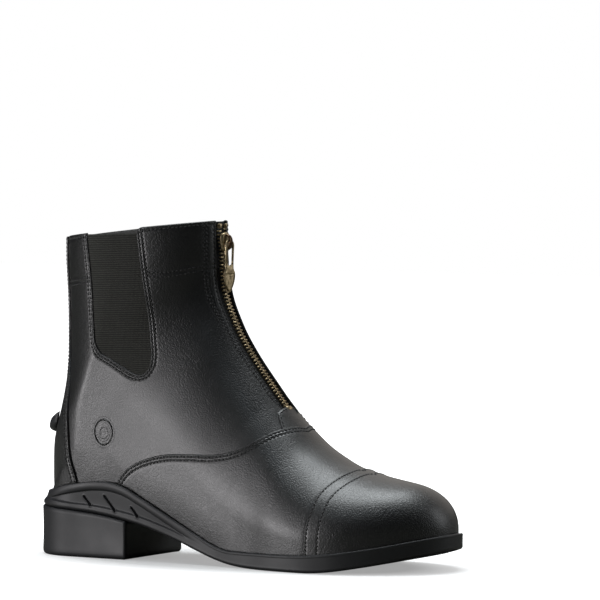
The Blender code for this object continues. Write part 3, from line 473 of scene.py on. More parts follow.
def shader(name, colour, roughness, **sockets):
    """Principled material with its constants on its own sockets.

    Returns the material, its tree, the shader and the object coordinates.
    """
    mat = bpy.data.materials.new(name)
    mat.use_nodes = True
    tree = mat.node_tree
    principled = tree.nodes["Principled BSDF"]
    principled.inputs["Base Color"].default_value = (*colour, 1.0)
    principled.inputs["Roughness"].default_value = roughness
    for socket, value in sockets.items():
        principled.inputs[socket.replace("_", " ")].default_value = value
    return mat, tree, principled, node(tree, "TexCoord").outputs["Object"]


def bumped(tree, target, height, distance, strength=1.0):
    """Link a height to a shader's normal through a bump."""
    bump = node(tree, "Bump", {"Strength": strength, "Distance": distance}, {"Height": height})
    tree.links.new(bump.outputs[0], target.inputs["Normal"])


def toned(tree, target, low, high, factor):
    """Link a shader's base colour to the mix of two colours by a factor."""
    tone = node(tree, "MixRGB", {"Color1": (*low, 1.0), "Color2": (*high, 1.0)}, {"Fac": factor})
    tree.links.new(tone.outputs[0], target.inputs["Base Color"])


def roughened(tree, target, low, high, value, start=0.3, stop=0.7):
    """Link a shader's roughness to a value, which goes from low at start to high at stop."""
    rough = node(tree, "MapRange", {"From Min": start, "From Max": stop, "To Min": low,
                                    "To Max": high}, {"Value": value})
    tree.links.new(rough.outputs[0], target.inputs["Roughness"])


def group(name, inputs, outputs):
    """Node group with named value inputs (name: default) and outputs (name: socket type)."""
    tree = bpy.data.node_groups.new(name, "ShaderNodeTree")
    for label, default in inputs.items():
        kind = "NodeSocketVector" if default is None else "NodeSocketFloat"
        socket = tree.interface.new_socket(label, in_out="INPUT", socket_type=kind)
        if default is not None:
            socket.default_value = default
    for label, kind in outputs.items():
        tree.interface.new_socket(label, in_out="OUTPUT", socket_type=kind)
    return tree, tree.nodes.new("NodeGroupInput"), tree.nodes.new("NodeGroupOutput")


def grain_group():
    """Tipped grain of smooth leather: small cells with fine creases between, and broad tone."""
    tree, start, end = group("grain", {"Vector": None, "Cells": 900.0},
                             {"Height": "NodeSocketFloat", "Tone": "NodeSocketFloat",
                              "Gloss": "NodeSocketFloat"})
    where, cells = start.outputs["Vector"], start.outputs["Cells"]
    warp = node(tree, "TexNoise", {"Scale": 260.0, "Detail": 2.0}, {"Vector": where})
    push = node(tree, "VectorMath", {"Scale": 0.0011}, {0: warp.outputs["Color"]},
                operation="SCALE")
    bent = node(tree, "VectorMath", None, {0: where, 1: push.outputs[0]}, operation="ADD")
    cell = node(tree, "TexVoronoi", {"Randomness": 1.0},
                {"Vector": bent.outputs[0], "Scale": cells}, feature="SMOOTH_F1")
    cell.inputs["Smoothness"].default_value = 0.55
    fine = node(tree, "TexNoise", {"Scale": 2600.0, "Detail": 3.0}, {"Vector": where})
    broad = node(tree, "TexNoise", {"Scale": 26.0, "Detail": 3.0}, {"Vector": where})
    dome = maths(tree, "MULTIPLY", cell.outputs["Distance"], -1.0)
    height = maths(tree, "ADD", dome, maths(tree, "MULTIPLY", fine.outputs["Fac"], 0.25))
    tree.links.new(height, end.inputs["Height"])
    tree.links.new(cell.outputs["Distance"], end.inputs["Tone"])
    tree.links.new(broad.outputs["Fac"], end.inputs["Gloss"])
    return tree


GRAIN = grain_group()


def leather(name, colour, roughness, cells=900.0, depth=0.00011, spread=0.10):
    """Satin leather: grain in the bump and a slight change of gloss from place to place."""
    mat, tree, hide, where = shader(name, colour, roughness, Coat_Weight=0.5, Coat_Roughness=0.33)
    grain = node(tree, "Group", node_tree=GRAIN)
    grain.inputs["Cells"].default_value = cells
    tree.links.new(where, grain.inputs["Vector"])
    bumped(tree, hide, grain.outputs["Height"], depth)
    roughened(tree, hide, roughness - spread / 2, roughness + spread / 2, grain.outputs["Gloss"])
    toned(tree, hide, [c * 1.25 for c in colour], [c * 0.7 for c in colour],
          grain.outputs["Tone"])
    return mat


LEATHER = leather("leather", (0.0042, 0.0044, 0.0044), 0.44, 1250.0, 0.00024, 0.06)
ROWS_AT = (1.6, 3.8)                # stitch rows from a seam's edge
BAND_AT = (26.0, 28.3)              # double row under the collar
ZIP_ROWS_AT = (1.6, 6.5, 8.6)
TOP_ROW_AT = 2.2
COLLAR_STEPS = np.array([0, 0.1, 0.3, 0.6, 1.0, 1.4, 1.8, 2.2, 2.6, 3.2, 4.2, 6.0, 8.5, 11.0, 14.0,
                         17.0, 20.0, 23.0, 24.8, 25.4, 26.0, 26.6, 27.2, 27.8, 28.3, 28.8, 30.0,
                         32.0, 35.0, 38.0])
ZIP_STEPS = np.array([0, 0.1, 0.3, 0.6, 0.95, 1.3, 1.6, 1.9, 2.4, 3.4, 4.8, 5.8, 6.2, 6.5, 6.8,
                      7.3, 7.9, 8.3, 8.6, 8.9, 9.6])


def collar_z(x):
    """Height of the collar's straight top line at x, seen from the side."""
    (back_x, back_z), (front_x, front_z) = SHAFT[-1, [1, 0]], SHAFT[-1, [2, 3]]
    return back_z + (x - back_x) * (front_z - back_z) / (front_x - back_x)


def below_collar(p):
    """Distance of points below the collar's top line."""
    return collar_z(p[..., 0]) - p[..., 2]


def at_depths(line, depths):
    """Points of a (run, v) line at depths below the collar."""
    down = below_collar(face_point(u_at(line[:, 0]), line[:, 1]))
    order = np.argsort(down)
    return np.stack([np.interp(depths, down[order], line[order, k]) for k in (0, 1)], -1)


def by_length(line, shares):
    """Points at shares of the real length of a (run, v) line on the last."""
    length = lengths(face_point(u_at(line[:, 0]), line[:, 1]))
    return np.stack([np.interp(shares, length / length[-1], line[:, k]) for k in (0, 1)], -1)


ZIP_END_U = math.acos(2 * (ZIP_END_X - HEEL_CORNER_X) / (UPPER_TOE_X - HEEL_CORNER_X) - 1) / math.pi
# Lines of a quarter that end on the back seam, the foot, the lap under the vamp and the zip, and
# the shares of the cut-out's length that they leave from
FAN_LINES = (50, 14, 56, 74)
FAN_SHARES = (0.0, 0.42, 0.475, 0.60, 1.0)
QUARTER_LAP = 8.0                   # the quarters go on this far under the vamp


def quarter(side):
    """Grid of one quarter between the gore's cut-out and its outer border.

    Lines leave the cut-out and end on the back seam, the foot, the lap under the vamp or the
    zip's edge. Lines near the collar are level with it, so its fold and stitch rows are too.
    """
    curve = np.concatenate([GORE_OUTLINE[:1], through(GORE_OUTLINE[1:-1], 240), GORE_OUTLINE[-1:]])
    cut = seen(through(curve, 700), side)
    down = below_collar(face_point(u_at(cut[:, 0]), cut[:, 1]))
    lowest = np.argmax(down)
    edge_u = np.linspace(ZIP_END_U - 0.004, 2.0, 400)
    zip_edge = np.stack([run_at(edge_u), side * slot_v(edge_u)], -1)
    seam_u = np.linspace(1.0, 2.0, 200)
    seam = np.stack([run_at(seam_u), np.full(200, float(side))], -1)
    starts = [at_depths(part, COLLAR_STEPS) for part in (cut[:lowest], cut[lowest:])]
    ends = [at_depths(part, COLLAR_STEPS) for part in (seam, zip_edge)]
    low_cut = np.concatenate([starts[0][-1:], cut[(down > COLLAR_STEPS[-1])], starts[1][-1:]])
    lap = seen(through(VAMP_EDGE[3:], 60) - (0.0, QUARTER_LAP), side)
    low_seam = seam[seam[:, 0] < ends[0][-1, 0]][::-1]
    foot = np.stack([np.linspace(seam[0, 0], lap[0, 0], 20), np.full(20, float(side))], -1)
    lap = np.concatenate([lap[lap[:, 0] > zip_edge[0, 0] - 9], [(zip_edge[0, 0] - 7, side * 0.03)]])
    low_zip = np.concatenate([lap[-1:], zip_edge[zip_edge[:, 0] < ends[1][-1, 0]], ends[1][-1:]])
    borders = (np.concatenate([ends[0][-1:], low_seam]), foot, lap, low_zip)
    for k, (lines, border) in enumerate(zip(FAN_LINES, borders)):
        at = (np.arange(lines) + 1) / (lines + (k == len(FAN_LINES) - 1))
        share = FAN_SHARES[k] + (FAN_SHARES[k + 1] - FAN_SHARES[k]) * at
        starts.insert(k + 1, by_length(low_cut, share))
        ends.insert(k + 1, by_length(border, at))
    starts[-1], ends[-1] = starts[-1][::-1], ends[-1][::-1]
    return between(np.concatenate(starts), np.concatenate(ends), 30, far=ZIP_STEPS)


STITCH_ROWS = []                    # rows of stitches on all pieces, as (u, v, height) lines
THREAD_SUNK = 0.05                  # how deep a row of thread lies under its leather's face
FOLD_ROUND, FOLD_BACK = 0.8, 0.7    # the folded edge: its radius, and depth behind the radius
CORNER_CUT, CORNER_REACH = 3.6, 4.2
FACING_LIFT, FACING_REACH = 1.9, 6.5
DENT = 0.26


def mark(run, v, height):
    """Remember a line of (run, v) points as a row of stitches at a height above the last."""
    STITCH_ROWS.append((u_at(run), v, height))


def column_at(far, distance):
    """Index of the grid column that lies at a distance from the border."""
    return np.argmin(np.abs(far[len(far) // 2] - distance))


def mark_rows(run, v, far, rows, height, part=slice(3, -3)):
    """Mark the columns of a grid that lie at the rows' distances from its border."""
    for row in rows:
        k = column_at(far, row)
        mark(run[part, k], v[part, k], height)


for side, side_name in ((-1, "outer"), (1, "inner")):
    run, v, gore_far, zip_far = quarter(side)
    lines = np.arange(len(run))[:, None]
    count, top = len(run), len(COLLAR_STEPS)
    # lines of the front end border the zip, the others the back seam or the lap under the vamp
    first_zip = top + sum(FAN_LINES[:3])
    at_zip = ease((lines - first_zip) / 4.0)
    collar_far = below_collar(face_point(u_at(run), v))
    # the front part has a rounded corner beside the gore
    corner = CORNER_CUT * (1 - fold(gore_far, CORNER_REACH)) * ease((lines - (count - top)) / 4.0)
    run = run - corner * ease((12.0 - collar_far) / 12.0)
    free = np.minimum(gore_far, np.minimum(collar_far, np.where(at_zip > 0.5, zip_far, 50.0)))
    dents = (grooves(gore_far, ROWS_AT) + grooves(collar_far, (TOP_ROW_AT, *BAND_AT))
             + at_zip * grooves(zip_far, ZIP_ROWS_AT))
    bead = 0.28 * groove(gore_far, 0.9, 0.6) + 0.20 * groove(gore_far, 2.7, 0.55)
    bead = bead + 0.2 * at_zip * groove(zip_far, 0.8, 0.6)
    edge = fold(free, FOLD_ROUND)
    u = u_at(run)
    # the inner facing springs up a little beside the zip
    lip = ((side > 0) * FACING_LIFT * at_zip * np.exp(-(zip_far / FACING_REACH)**2)
           * ease((collar_far - 8) / 30))
    face = lip - FOLD_ROUND + (FOLD_ROUND + bead - DENT * np.clip(dents, 0, 1)) * edge
    outer, inner = skin(u, v, face), skin(u, v, lip - FOLD_ROUND - FOLD_BACK * edge)
    piece("quarter_" + side_name, *closed(outer, inner), LEATHER, "leather", ["upper"])
    mark_rows(run, v, gore_far, ROWS_AT, -THREAD_SUNK, slice(4, -4))
    mark_rows(run, v, zip_far, ZIP_ROWS_AT, -THREAD_SUNK, slice(first_zip + 8, -6))
    first, last = column_at(gore_far, ROWS_AT[1]), column_at(zip_far, ZIP_ROWS_AT[2])
    for depth in (TOP_ROW_AT, *BAND_AT):
        k = np.argmin(np.abs(COLLAR_STEPS - depth))
        mark(run[-1 - k, first:last], v[-1 - k, first:last], -THREAD_SUNK)
        mark(run[k, first:], v[k, first:], -THREAD_SUNK)


# The lining: thin leather inside the upper, glued to the quarters and vamp and closed up to the
# zip's slot. It ends just under the folded collar.
LINING_FACES, LINING_SLOT = (-1.6, -2.0), 6.4
lining_run = np.concatenate([[0.5], np.linspace(2.0, run_at(ZIP_END_U), 44),
                             np.linspace(run_at(ZIP_END_U) + 3, COLLAR - 0.9, 60)])
lining_u = u_at(lining_run)
half = slot_v(np.maximum(lining_u, ZIP_END_U), LINING_SLOT)[:, None]
across = half + (1 - half) * np.linspace(0, 1, 40)**1.1
v = np.concatenate([-across[:, ::-1], across], 1)
u = np.broadcast_to(lining_u[:, None], v.shape)
# the column in the middle is left out along the zip
keep = np.ones((v.shape[0] - 1, v.shape[1] - 1), bool)
keep[44:, 39] = False
LINING = leather("lining_leather", (0.022, 0.020, 0.018), 0.55, 1300.0, 0.00006)
piece("lining", *closed(*(skin(u, v, np.full(u.shape, at)) for at in LINING_FACES), keep),
      LINING, "leather", ["upper"])


# The vamp: one piece of leather over the forefoot, lapped onto the quarters and sewn with two
# rows. Its front end lies under the toe cap and its lower edge goes down inside the sole.
VAMP_THICK, CAP_THICK, STAY_THICK, PATCH_THICK = 1.3, 1.8, 1.3, 1.1
TUCK = 2.2                          # a cover thins out over this height just under the rim
COVER_ROUND, EDGE_TALL = 0.7, 0.15  # rounding of a cover's edge, and its height at the border
CAP_OVER = 8.0                      # the vamp goes on this far under the toe cap
VAMP_HEEL_END = (72.0, 20.0)        # x and z where its foot begins, hidden by the sole's wing


def cover(run, v, height, free):
    """Closed sheet of a leather cover: rounded free edge, thinner where the sole hides it."""
    u = u_at(run)
    p = face_point(u, v)
    tuck = ease((p[..., 2] - level(p[..., 0], RIM) + TUCK) / TUCK)
    edge = fold(free, COVER_ROUND)
    outer = skin(u, v, (EDGE_TALL + (height - EDGE_TALL) * edge) * tuck - 0.1 * (1 - tuck))
    return closed(outer, skin(u, v, -0.2 + 0.1 * edge))


def cap_run(v):
    """Distance from the toe of the cap's edge at v, the same on both sides."""
    line = seen(through(CAP_EDGE, 200), -1)
    order = np.argsort(-line[:, 1])
    return np.interp(np.abs(v), -line[order, 1], line[order, 0])


vamp_sides = []
for side in (-1, 1):
    seam = seen(through(VAMP_EDGE, 90), side)
    seam[-1, 1] = 0.0
    foot_back, foot_front = run_at(on_last(*VAMP_HEEL_END, side)[0]), cap_run(1.0)
    foot = np.stack([np.linspace(foot_back, foot_front, 60, endpoint=False),
                     np.full(60, float(side))], -1)
    v = side * np.linspace(1, 0, 60)
    under_cap = np.stack([cap_run(v) - CAP_OVER, v], -1)
    border = np.concatenate([foot, under_cap])
    share = np.concatenate([np.linspace(0, 0.66, 60, endpoint=False), np.linspace(0.66, 1, 60)])
    at = np.interp(np.linspace(0, 1, 90), [0, 0.26, 0.55, 0.76, 1], [0, 0.16, 0.42, 0.68, 1])
    border = np.stack([np.interp(at, share, border[:, k]) for k in (0, 1)], -1)
    vamp_sides.append(between(seam, border, 44))
vamp_sides[1] = tuple(part[-2::-1] for part in vamp_sides[1])
run, v, seam_far, _ = (np.concatenate(parts) for parts in zip(*vamp_sides))
dents = grooves(seam_far, ROWS_AT)
bead = 0.16 * groove(seam_far, 0.8, 0.5) + 0.14 * groove(seam_far, 2.7, 0.5)
under = ease((cap_run(v) - run) / 2.0)
height = VAMP_THICK - 0.22 * np.clip(dents, 0, 1) + bead - 0.5 * under
piece("vamp_leather", *cover(run, v, height, seam_far), LEATHER, "leather", ["vamp"])
mark_rows(run, v, seam_far, ROWS_AT, VAMP_THICK - THREAD_SUNK)


# The toe cap: a second layer over the end of the vamp, cut with a raw edge and sewn close to
# it, with one more row of stitches 8 mm further on.
CAP_ROWS_AT = (1.3, 8.4)
CAP_STEPS = np.array([0, 0.08, 0.2, 0.4, 0.7, 1.0, 1.3, 1.6, 2.0, 3.0, 4.5, 6.0, 7.2, 7.7, 8.05,
                      8.4, 8.75, 9.1, 9.7])
v = np.linspace(-1, 1, 121)
v = np.sign(v) * np.abs(v)**1.1
start = np.stack([cap_run(v), v], -1)
end = np.stack([np.zeros(len(v)), v], -1)
run, v, cap_far, _ = between(start, end, 46, near=CAP_STEPS, far=np.array([0.0, 0.4, 1.0]))
height = CAP_THICK - 0.22 * grooves(cap_far, CAP_ROWS_AT, 0.45)
piece("toe_cap_leather", *cover(run, v, height, cap_far * 1.6), LEATHER, "leather", ["toe_cap"])
mark_rows(run, v, cap_far, CAP_ROWS_AT, CAP_THICK - THREAD_SUNK)


# The backstay: a strip over the back seam, wide at the heel and narrow at the collar, folded at
# both edges and sewn with two rows on each side.
stay_z = np.linspace(33.0, 160.0, 90)
collar_rows = 189.4 - COLLAR_STEPS * 1.02   # as close as the collar's fold and stitches need
stay_z = np.unique(np.clip(np.concatenate([stay_z, collar_rows]), 0, COLLAR_BACK_Z))
stay_sides = []
for side in (-1, 1):
    edge_x = smooth(BACKSTAY_EDGE[:, 1], BACKSTAY_EDGE[:, 0], stay_z)
    u, v = on_last(edge_x, stay_z, side)
    start = np.stack([run_at(u), v], -1)
    back_u = 1 + (stay_z - SHAFT[0, 0]) / (COLLAR_BACK_Z - SHAFT[0, 0])
    end = np.stack([run_at(back_u), np.full(len(stay_z), float(side))], -1)
    stay_sides.append(between(start, end, 8, near=EDGE[:13], far=np.array([0.0])))
flip = tuple(part[:, -2::-1] for part in stay_sides[1])
run, v, edge_far, _ = (np.concatenate(parts, 1) for parts in zip(stay_sides[0], flip))
free = np.minimum(edge_far, COLLAR - run)
dents = grooves(edge_far, ROWS_AT) + groove(COLLAR - run, TOP_ROW_AT)
height = STAY_THICK - 0.2 * np.clip(dents, 0, 1) + 0.2 * groove(edge_far, 0.8, 0.5)
piece("backstay_leather", *cover(run, v, height, free), LEATHER, "leather", ["backstay"])
for row in ROWS_AT:
    for k in (column_at(edge_far[:, :14], row),
              run.shape[1] - 1 - column_at(edge_far[:, ::-1][:, :14], row)):
        mark(run[3:-2, k], v[3:-2, k], STAY_THICK - THREAD_SUNK)
k = np.argmin(np.abs(COLLAR - run[:, 0] - TOP_ROW_AT))
mark(run[k, 8:-8], v[k, 8:-8], STAY_THICK - THREAD_SUNK)


# The patch under the zip: a small trapezoid of leather that covers the end of the zip. Its foot
# is caught under the vamp, and its other three edges are sewn down.
PATCH_HALF, PATCH_SPREAD = 0.098, 0.085     # half width as v: at the top, and gained by the foot
patch_top, patch_foot = run_at(0.4405), run_at(0.392)
rows = np.linspace(0, 1, 24)[:, None]
wide = PATCH_HALF + PATCH_SPREAD * rows
v = wide * np.linspace(-1, 1, 41)
run = np.broadcast_to(patch_top + (patch_foot - patch_top) * rows, v.shape)
p = face_point(u_at(run), v)
side_far = np.linalg.norm(p - p[:, :1], axis=-1)
side_far = np.minimum(side_far, side_far[:, ::-1])
free = np.minimum(side_far, patch_top - run)
height = PATCH_THICK - 0.2 * groove(free, 1.5, 0.5)
piece("zip_patch_leather", *cover(run, v, height, free), LEATHER, "leather", ["zip_end_patch"])
mark(np.full(30, patch_top - 1.5), np.linspace(-0.085, 0.085, 30), PATCH_THICK - THREAD_SUNK)
for sign in (-1, 1):
    mark(run[3:14, 0], sign * (wide[3:14, 0] - 0.014), PATCH_THICK - THREAD_SUNK)


# The stitching: black bonded thread through every seam, about 2.4 mm to a stitch. Each stitch is
# one short swollen length whose ends dip into the leather.
STITCH_PITCH, STITCH_LENGTH, STITCH_HALF = 2.4, 2.05, 0.46


def thread_material():
    """Waxed black thread: a fine twist in the bump."""
    mat, tree, thread, where = shader("thread", (0.022, 0.022, 0.022), 0.55)
    twist = node(tree, "TexWave", {"Scale": 900.0, "Distortion": 1.0}, {"Vector": where},
                 bands_direction="DIAGONAL")
    bumped(tree, thread, twist.outputs["Fac"], 0.00008, 0.5)
    return mat


THREAD = thread_material()


def stitch_places(u, v, height):
    """Middle, outward and forward vectors of the stitches along a row, spaced by real length."""
    p = face_point(u, v)
    length = lengths(p)
    count = max(int(length[-1] / STITCH_PITCH), 1)
    at = (np.arange(count) + 0.5) * length[-1] / count
    ahead, behind = (np.stack([np.interp(at + d, length, p[:, k]) for k in range(3)], -1)
                     for d in (0.6, -0.6))
    forward = ahead - behind
    forward /= np.maximum(np.linalg.norm(forward, axis=1, keepdims=True), 1e-9)
    su, sv = np.interp(at, length, u), np.interp(at, length, v)
    return skin(su, sv, np.full(count, height)), face_normal(su, sv), forward


def stitches(name, rows):
    """All rows as one mesh: a spindle of 26 points copied to every place by broadcasting."""
    middle, out, forward = (np.concatenate(part) for part in
                            zip(*(stitch_places(*row) for row in rows)))
    across = np.cross(out, forward)
    along = np.array([-0.5, -0.44, -0.2, 0.2, 0.44, 0.5]) * STITCH_LENGTH
    thick = np.array([0, 0.75, 1.0, 1.0, 0.75, 0]) * STITCH_HALF
    dip = -0.42 * np.array([1, 0.72, 0.1, 0.1, 0.72, 1])
    turn = np.arange(6) * np.pi / 3
    ring = [(0, 0.0)] + [(k, a) for k in range(1, 5) for a in turn] + [(5, 0.0)]
    at, angle = np.array([r[0] for r in ring]), np.array([r[1] for r in ring])
    x, y, z = along[at], thick[at] * np.cos(angle), thick[at] * np.sin(angle) + dip[at]
    points = (middle[:, None] + forward[:, None] * x[:, None] + across[:, None] * y[:, None]
              + out[:, None] * z[:, None])
    k = np.arange(6)
    n = (k + 1) % 6
    caps = [[0, 1 + b, 1 + a, 1 + a] for a, b in zip(k, n)] + [
        [25, 19 + a, 19 + b, 19 + b] for a, b in zip(k, n)]
    sides = [[1 + 6 * r + a, 1 + 6 * r + b, 7 + 6 * r + b, 7 + 6 * r + a]
             for r in range(3) for a, b in zip(k, n)]
    faces = np.array(caps + sides)[None] + 26 * np.arange(len(middle))[:, None, None]
    faces = [list(dict.fromkeys(f)) for f in faces.reshape(-1, 4).tolist()]
    return piece(name, points.reshape(-1, 3), faces, THREAD, "leather")


stitches("stitching", STITCH_ROWS)


# The side gores: two panels of woven elastic set behind the cut-outs of the quarters. Rubber
# threads run up the boot and the weft pulls them into fine level ribs.
RIB_PITCH, RIB_HEIGHT = 1.3, 0.28
GORE_SINK, GORE_BACK = -0.85, -2.25
GORE_LAP = 2.2                      # the panel goes on this far behind the leather
GORE_FOOT_Z = 109.6
# Front and back edge of the visible cut-out at each height, read off the cut-out's outline
GORE_BACK_EDGE = np.array([(109.5, 78.0), (112.4, 71.0), (118.4, 59.0), (121.8, 52.5),
                           (127.5, 49.2), (137.6, 47.8), (162.3, 45.4), (205.0, 41.0)])
GORE_FRONT_EDGE = np.array([(109.5, 84.0), (114.0, 86.6), (120.0, 87.6), (130.5, 87.0),
                            (155.1, 84.8), (171.5, 82.8), (187.9, 80.8), (205.0, 79.4)])


def elastic_material():
    """Black elastic: matt threads crossing the ribs, a painted highlight on each rib and painted
    shade between.
    """
    mat, tree, cloth, where = shader("elastic", (0.014, 0.0145, 0.012), 0.85,
                                     Sheen_Weight=0.06, Sheen_Roughness=0.4)
    long_way = node(tree, "Mapping", {"Scale": (1.0, 0.15, 0.35)}, {"Vector": where})
    threads = node(tree, "TexWave", {"Scale": 380.0, "Distortion": 1.5, "Detail": 2.0,
                                     "Detail Scale": 3.0}, {"Vector": long_way.outputs[0]},
                   bands_direction="X")
    fuzz = node(tree, "TexNoise", {"Scale": 1500.0, "Detail": 3.0}, {"Vector": where})
    height = maths(tree, "ADD", threads.outputs["Fac"], fuzz.outputs["Fac"])
    bumped(tree, cloth, height, 0.0002, 0.7)
    # the rib attribute paints rib tops light and grooves near black: painted highlight and shade
    rib = node(tree, "Attribute", attribute_name="rib")
    toned(tree, cloth, (0.0020, 0.0020, 0.0018), (0.075, 0.075, 0.062),
          maths(tree, "MULTIPLY", rib.outputs["Fac"], fuzz.outputs["Fac"]))
    return mat


ELASTIC = elastic_material()
ribs_down = np.arange(0.0, 92.0, RIB_PITCH / 6)
for side, side_name in ((-1, "outer"), (1, "inner")):
    across = np.linspace(0, 1, 26)
    # levels follow the collar's slope; a few passes settle x and z of each level together
    x = 41.0 + 48.0 * np.broadcast_to(across, (len(ribs_down), 26))
    top_drop = 0.7 + 2.9 * across
    for _ in range(6):
        z = np.maximum(collar_z(x) - top_drop - ribs_down[:, None], GORE_FOOT_Z)
        low = np.interp(z, GORE_BACK_EDGE[:, 0], GORE_BACK_EDGE[:, 1]) - GORE_LAP
        high = np.interp(z, GORE_FRONT_EDGE[:, 0], GORE_FRONT_EDGE[:, 1]) + GORE_LAP
        x = low + (high - low) * across
    u, v = on_last(x, z, side)
    # rib shapes the ribs and, as an attribute, paints a highlight on their tops and shade between
    rib = 0.5 - 0.5 * np.cos(2 * np.pi * ribs_down / RIB_PITCH)
    rib = np.broadcast_to(np.sqrt(rib)[:, None], x.shape)
    outer = skin(u, v, GORE_SINK + RIB_HEIGHT * rib)
    piece("gore_panel_" + side_name, *closed(outer, skin(u, v, np.full(u.shape, GORE_BACK))),
          ELASTIC, "elastic", ["gore_" + side_name], rib=np.tile(rib.ravel(), 2))


# The side stamp: a plain oval pressed into the outer quarter behind the ankle, a raised ring
# round a plain field. It stands for leather of the quarter itself, pressed while damp.
STAMP_AT, STAMP_HALF = (54.8, 75.0), (6.6, 8.0)
# Ring, the grooves on both sides of it, and a faint inner ring: height, reach, width
STAMP_RELIEF = ((0.55, 0.93, 0.055), (-0.42, 1.06, 0.05), (-0.40, 0.80, 0.05),
                (0.12, 0.42, 0.05))
reach = np.concatenate([[0.0], np.linspace(0.1, 0.70, 12), np.linspace(0.73, 1.3, 34)])[:, None]
angle = np.linspace(0, 2 * np.pi, 97)
x = STAMP_AT[0] + STAMP_HALF[0] * reach * np.cos(angle)
z = STAMP_AT[1] + STAMP_HALF[1] * reach * np.sin(angle)
u, v = on_last(x, z, -1)
relief = sum(height * groove(reach, at, width) for height, at, width in STAMP_RELIEF)
relief = (relief + 0.05) * ease((1.28 - reach) / 0.10) - 0.16 * ease((reach - 1.14) / 0.14)
relief = np.broadcast_to(relief, x.shape)
piece("side_stamp", *closed(skin(u, v, relief), skin(u, v, np.full(x.shape, -0.5))), LEATHER,
      "leather")


# The zip tape: black twill between the folded edges of the quarters, with a raised cord down
# each side of the teeth.
TAPE_HALF, TAPE_SINK, TAPE_THICK = 6.9, -1.15, 0.5
SIDEWAYS = np.array([0.0, 1.0, 0.0])        # towards the inner side of the foot
ridge_u = np.linspace(ZIP_END_U - 0.012, 1.998, 500)
RIDGE = lengths(face_point(ridge_u, np.zeros(500)))


def ridge(at):
    """Points on the ridge and outward and upward unit vectors, at lengths from the zip's end."""
    inside = np.clip(at, 0.0, RIDGE[-1])
    u = np.interp(inside, RIDGE, ridge_u)
    here = face_point(u, np.zeros(u.shape))
    above = face_point(np.interp(inside + 2.0, RIDGE, ridge_u), np.zeros(u.shape))
    below = face_point(np.interp(inside - 2.0, RIDGE, ridge_u), np.zeros(u.shape))
    up = (above - below) / np.linalg.norm(above - below, axis=-1, keepdims=True)
    out = np.stack([up[..., 2], np.zeros(u.shape), -up[..., 0]], -1)
    return here + up * (at - inside)[..., None], out, up


def on_ridge(at, across, out_by):
    """Points beside the ridge: across to the inner side, out_by outwards, curved as the leather."""
    here, out, _ = ridge(at)
    sag = across**2 / 40.0
    return here + out * (out_by - sag)[..., None] + across[..., None] * SIDEWAYS


def tape_material():
    """Twill tape: slanting ribs of matt black yarn."""
    mat, tree, cloth, where = shader("zip_tape", (0.008, 0.008, 0.008), 0.8, Sheen_Weight=0.05)
    twill = node(tree, "TexWave", {"Scale": 520.0, "Distortion": 0.6}, {"Vector": where},
                 bands_direction="DIAGONAL")
    bumped(tree, cloth, twill.outputs["Fac"], 0.00015, 0.8)
    toned(tree, cloth, (0.004, 0.004, 0.004), (0.014, 0.014, 0.014), twill.outputs["Fac"])
    return mat


TAPE = tape_material()
at, across = np.meshgrid(np.linspace(-3.0, RIDGE[-1] - 0.6, 160),
                         np.linspace(-TAPE_HALF, TAPE_HALF, 41), indexing="ij")
cord = 0.35 * groove(np.abs(across), 3.3, 0.5)
piece("zip_tape_cloth", *closed(on_ridge(at, across, TAPE_SINK + cord),
                                on_ridge(at, across, TAPE_SINK - TAPE_THICK)),
      TAPE, "zip_tape", ["zip_tape"])


# The zip's chain: brass teeth clamped on the cords of both tapes, half a pitch apart, closed up
# to the slider and parted above it. Antique finish: stained dark in patches, rubbed bright between.
TOOTH_PITCH, TOOTH_TALL = 2.2, 1.0
SLIDER_DOWN = 13.0
SLIDER_AT = RIDGE[-1] - SLIDER_DOWN + 0.4


def patina_group():
    """Dark stain on old brass: patches at two scales; Wear is 1 where the metal is rubbed."""
    tree, start, end = group("patina", {"Vector": None}, {"Wear": "NodeSocketFloat",
                                                          "Height": "NodeSocketFloat"})
    coarse = node(tree, "TexNoise", {"Scale": 420.0, "Detail": 4.0, "Roughness": 0.65},
                  {"Vector": start.outputs["Vector"]})
    fine = node(tree, "TexNoise", {"Scale": 2200.0, "Detail": 3.0},
                {"Vector": start.outputs["Vector"]})
    both = maths(tree, "ADD", maths(tree, "MULTIPLY", coarse.outputs["Fac"], 0.75),
                 maths(tree, "MULTIPLY", fine.outputs["Fac"], 0.25))
    wear = node(tree, "MapRange", {"From Min": 0.40, "From Max": 0.60}, {"Value": both})
    tree.links.new(wear.outputs[0], end.inputs["Wear"])
    tree.links.new(fine.outputs["Fac"], end.inputs["Height"])
    return tree


PATINA = patina_group()


def brass(name, bright, dark, roughness=0.34):
    """Antique brass from the patina: rubbed places are brighter and smoother than stained ones."""
    mat, tree, metal, where = shader(name, bright, roughness, Metallic=1.0)
    stain = node(tree, "Group", node_tree=PATINA)
    tree.links.new(where, stain.inputs["Vector"])
    toned(tree, metal, dark, bright, stain.outputs["Wear"])
    roughened(tree, metal, roughness + 0.16, roughness - 0.06, stain.outputs["Wear"], 0.0, 1.0)
    bumped(tree, metal, stain.outputs["Height"], 0.00004, 0.3)
    return mat


BRASS = brass("antique_brass", (0.62, 0.49, 0.30), (0.17, 0.13, 0.075))

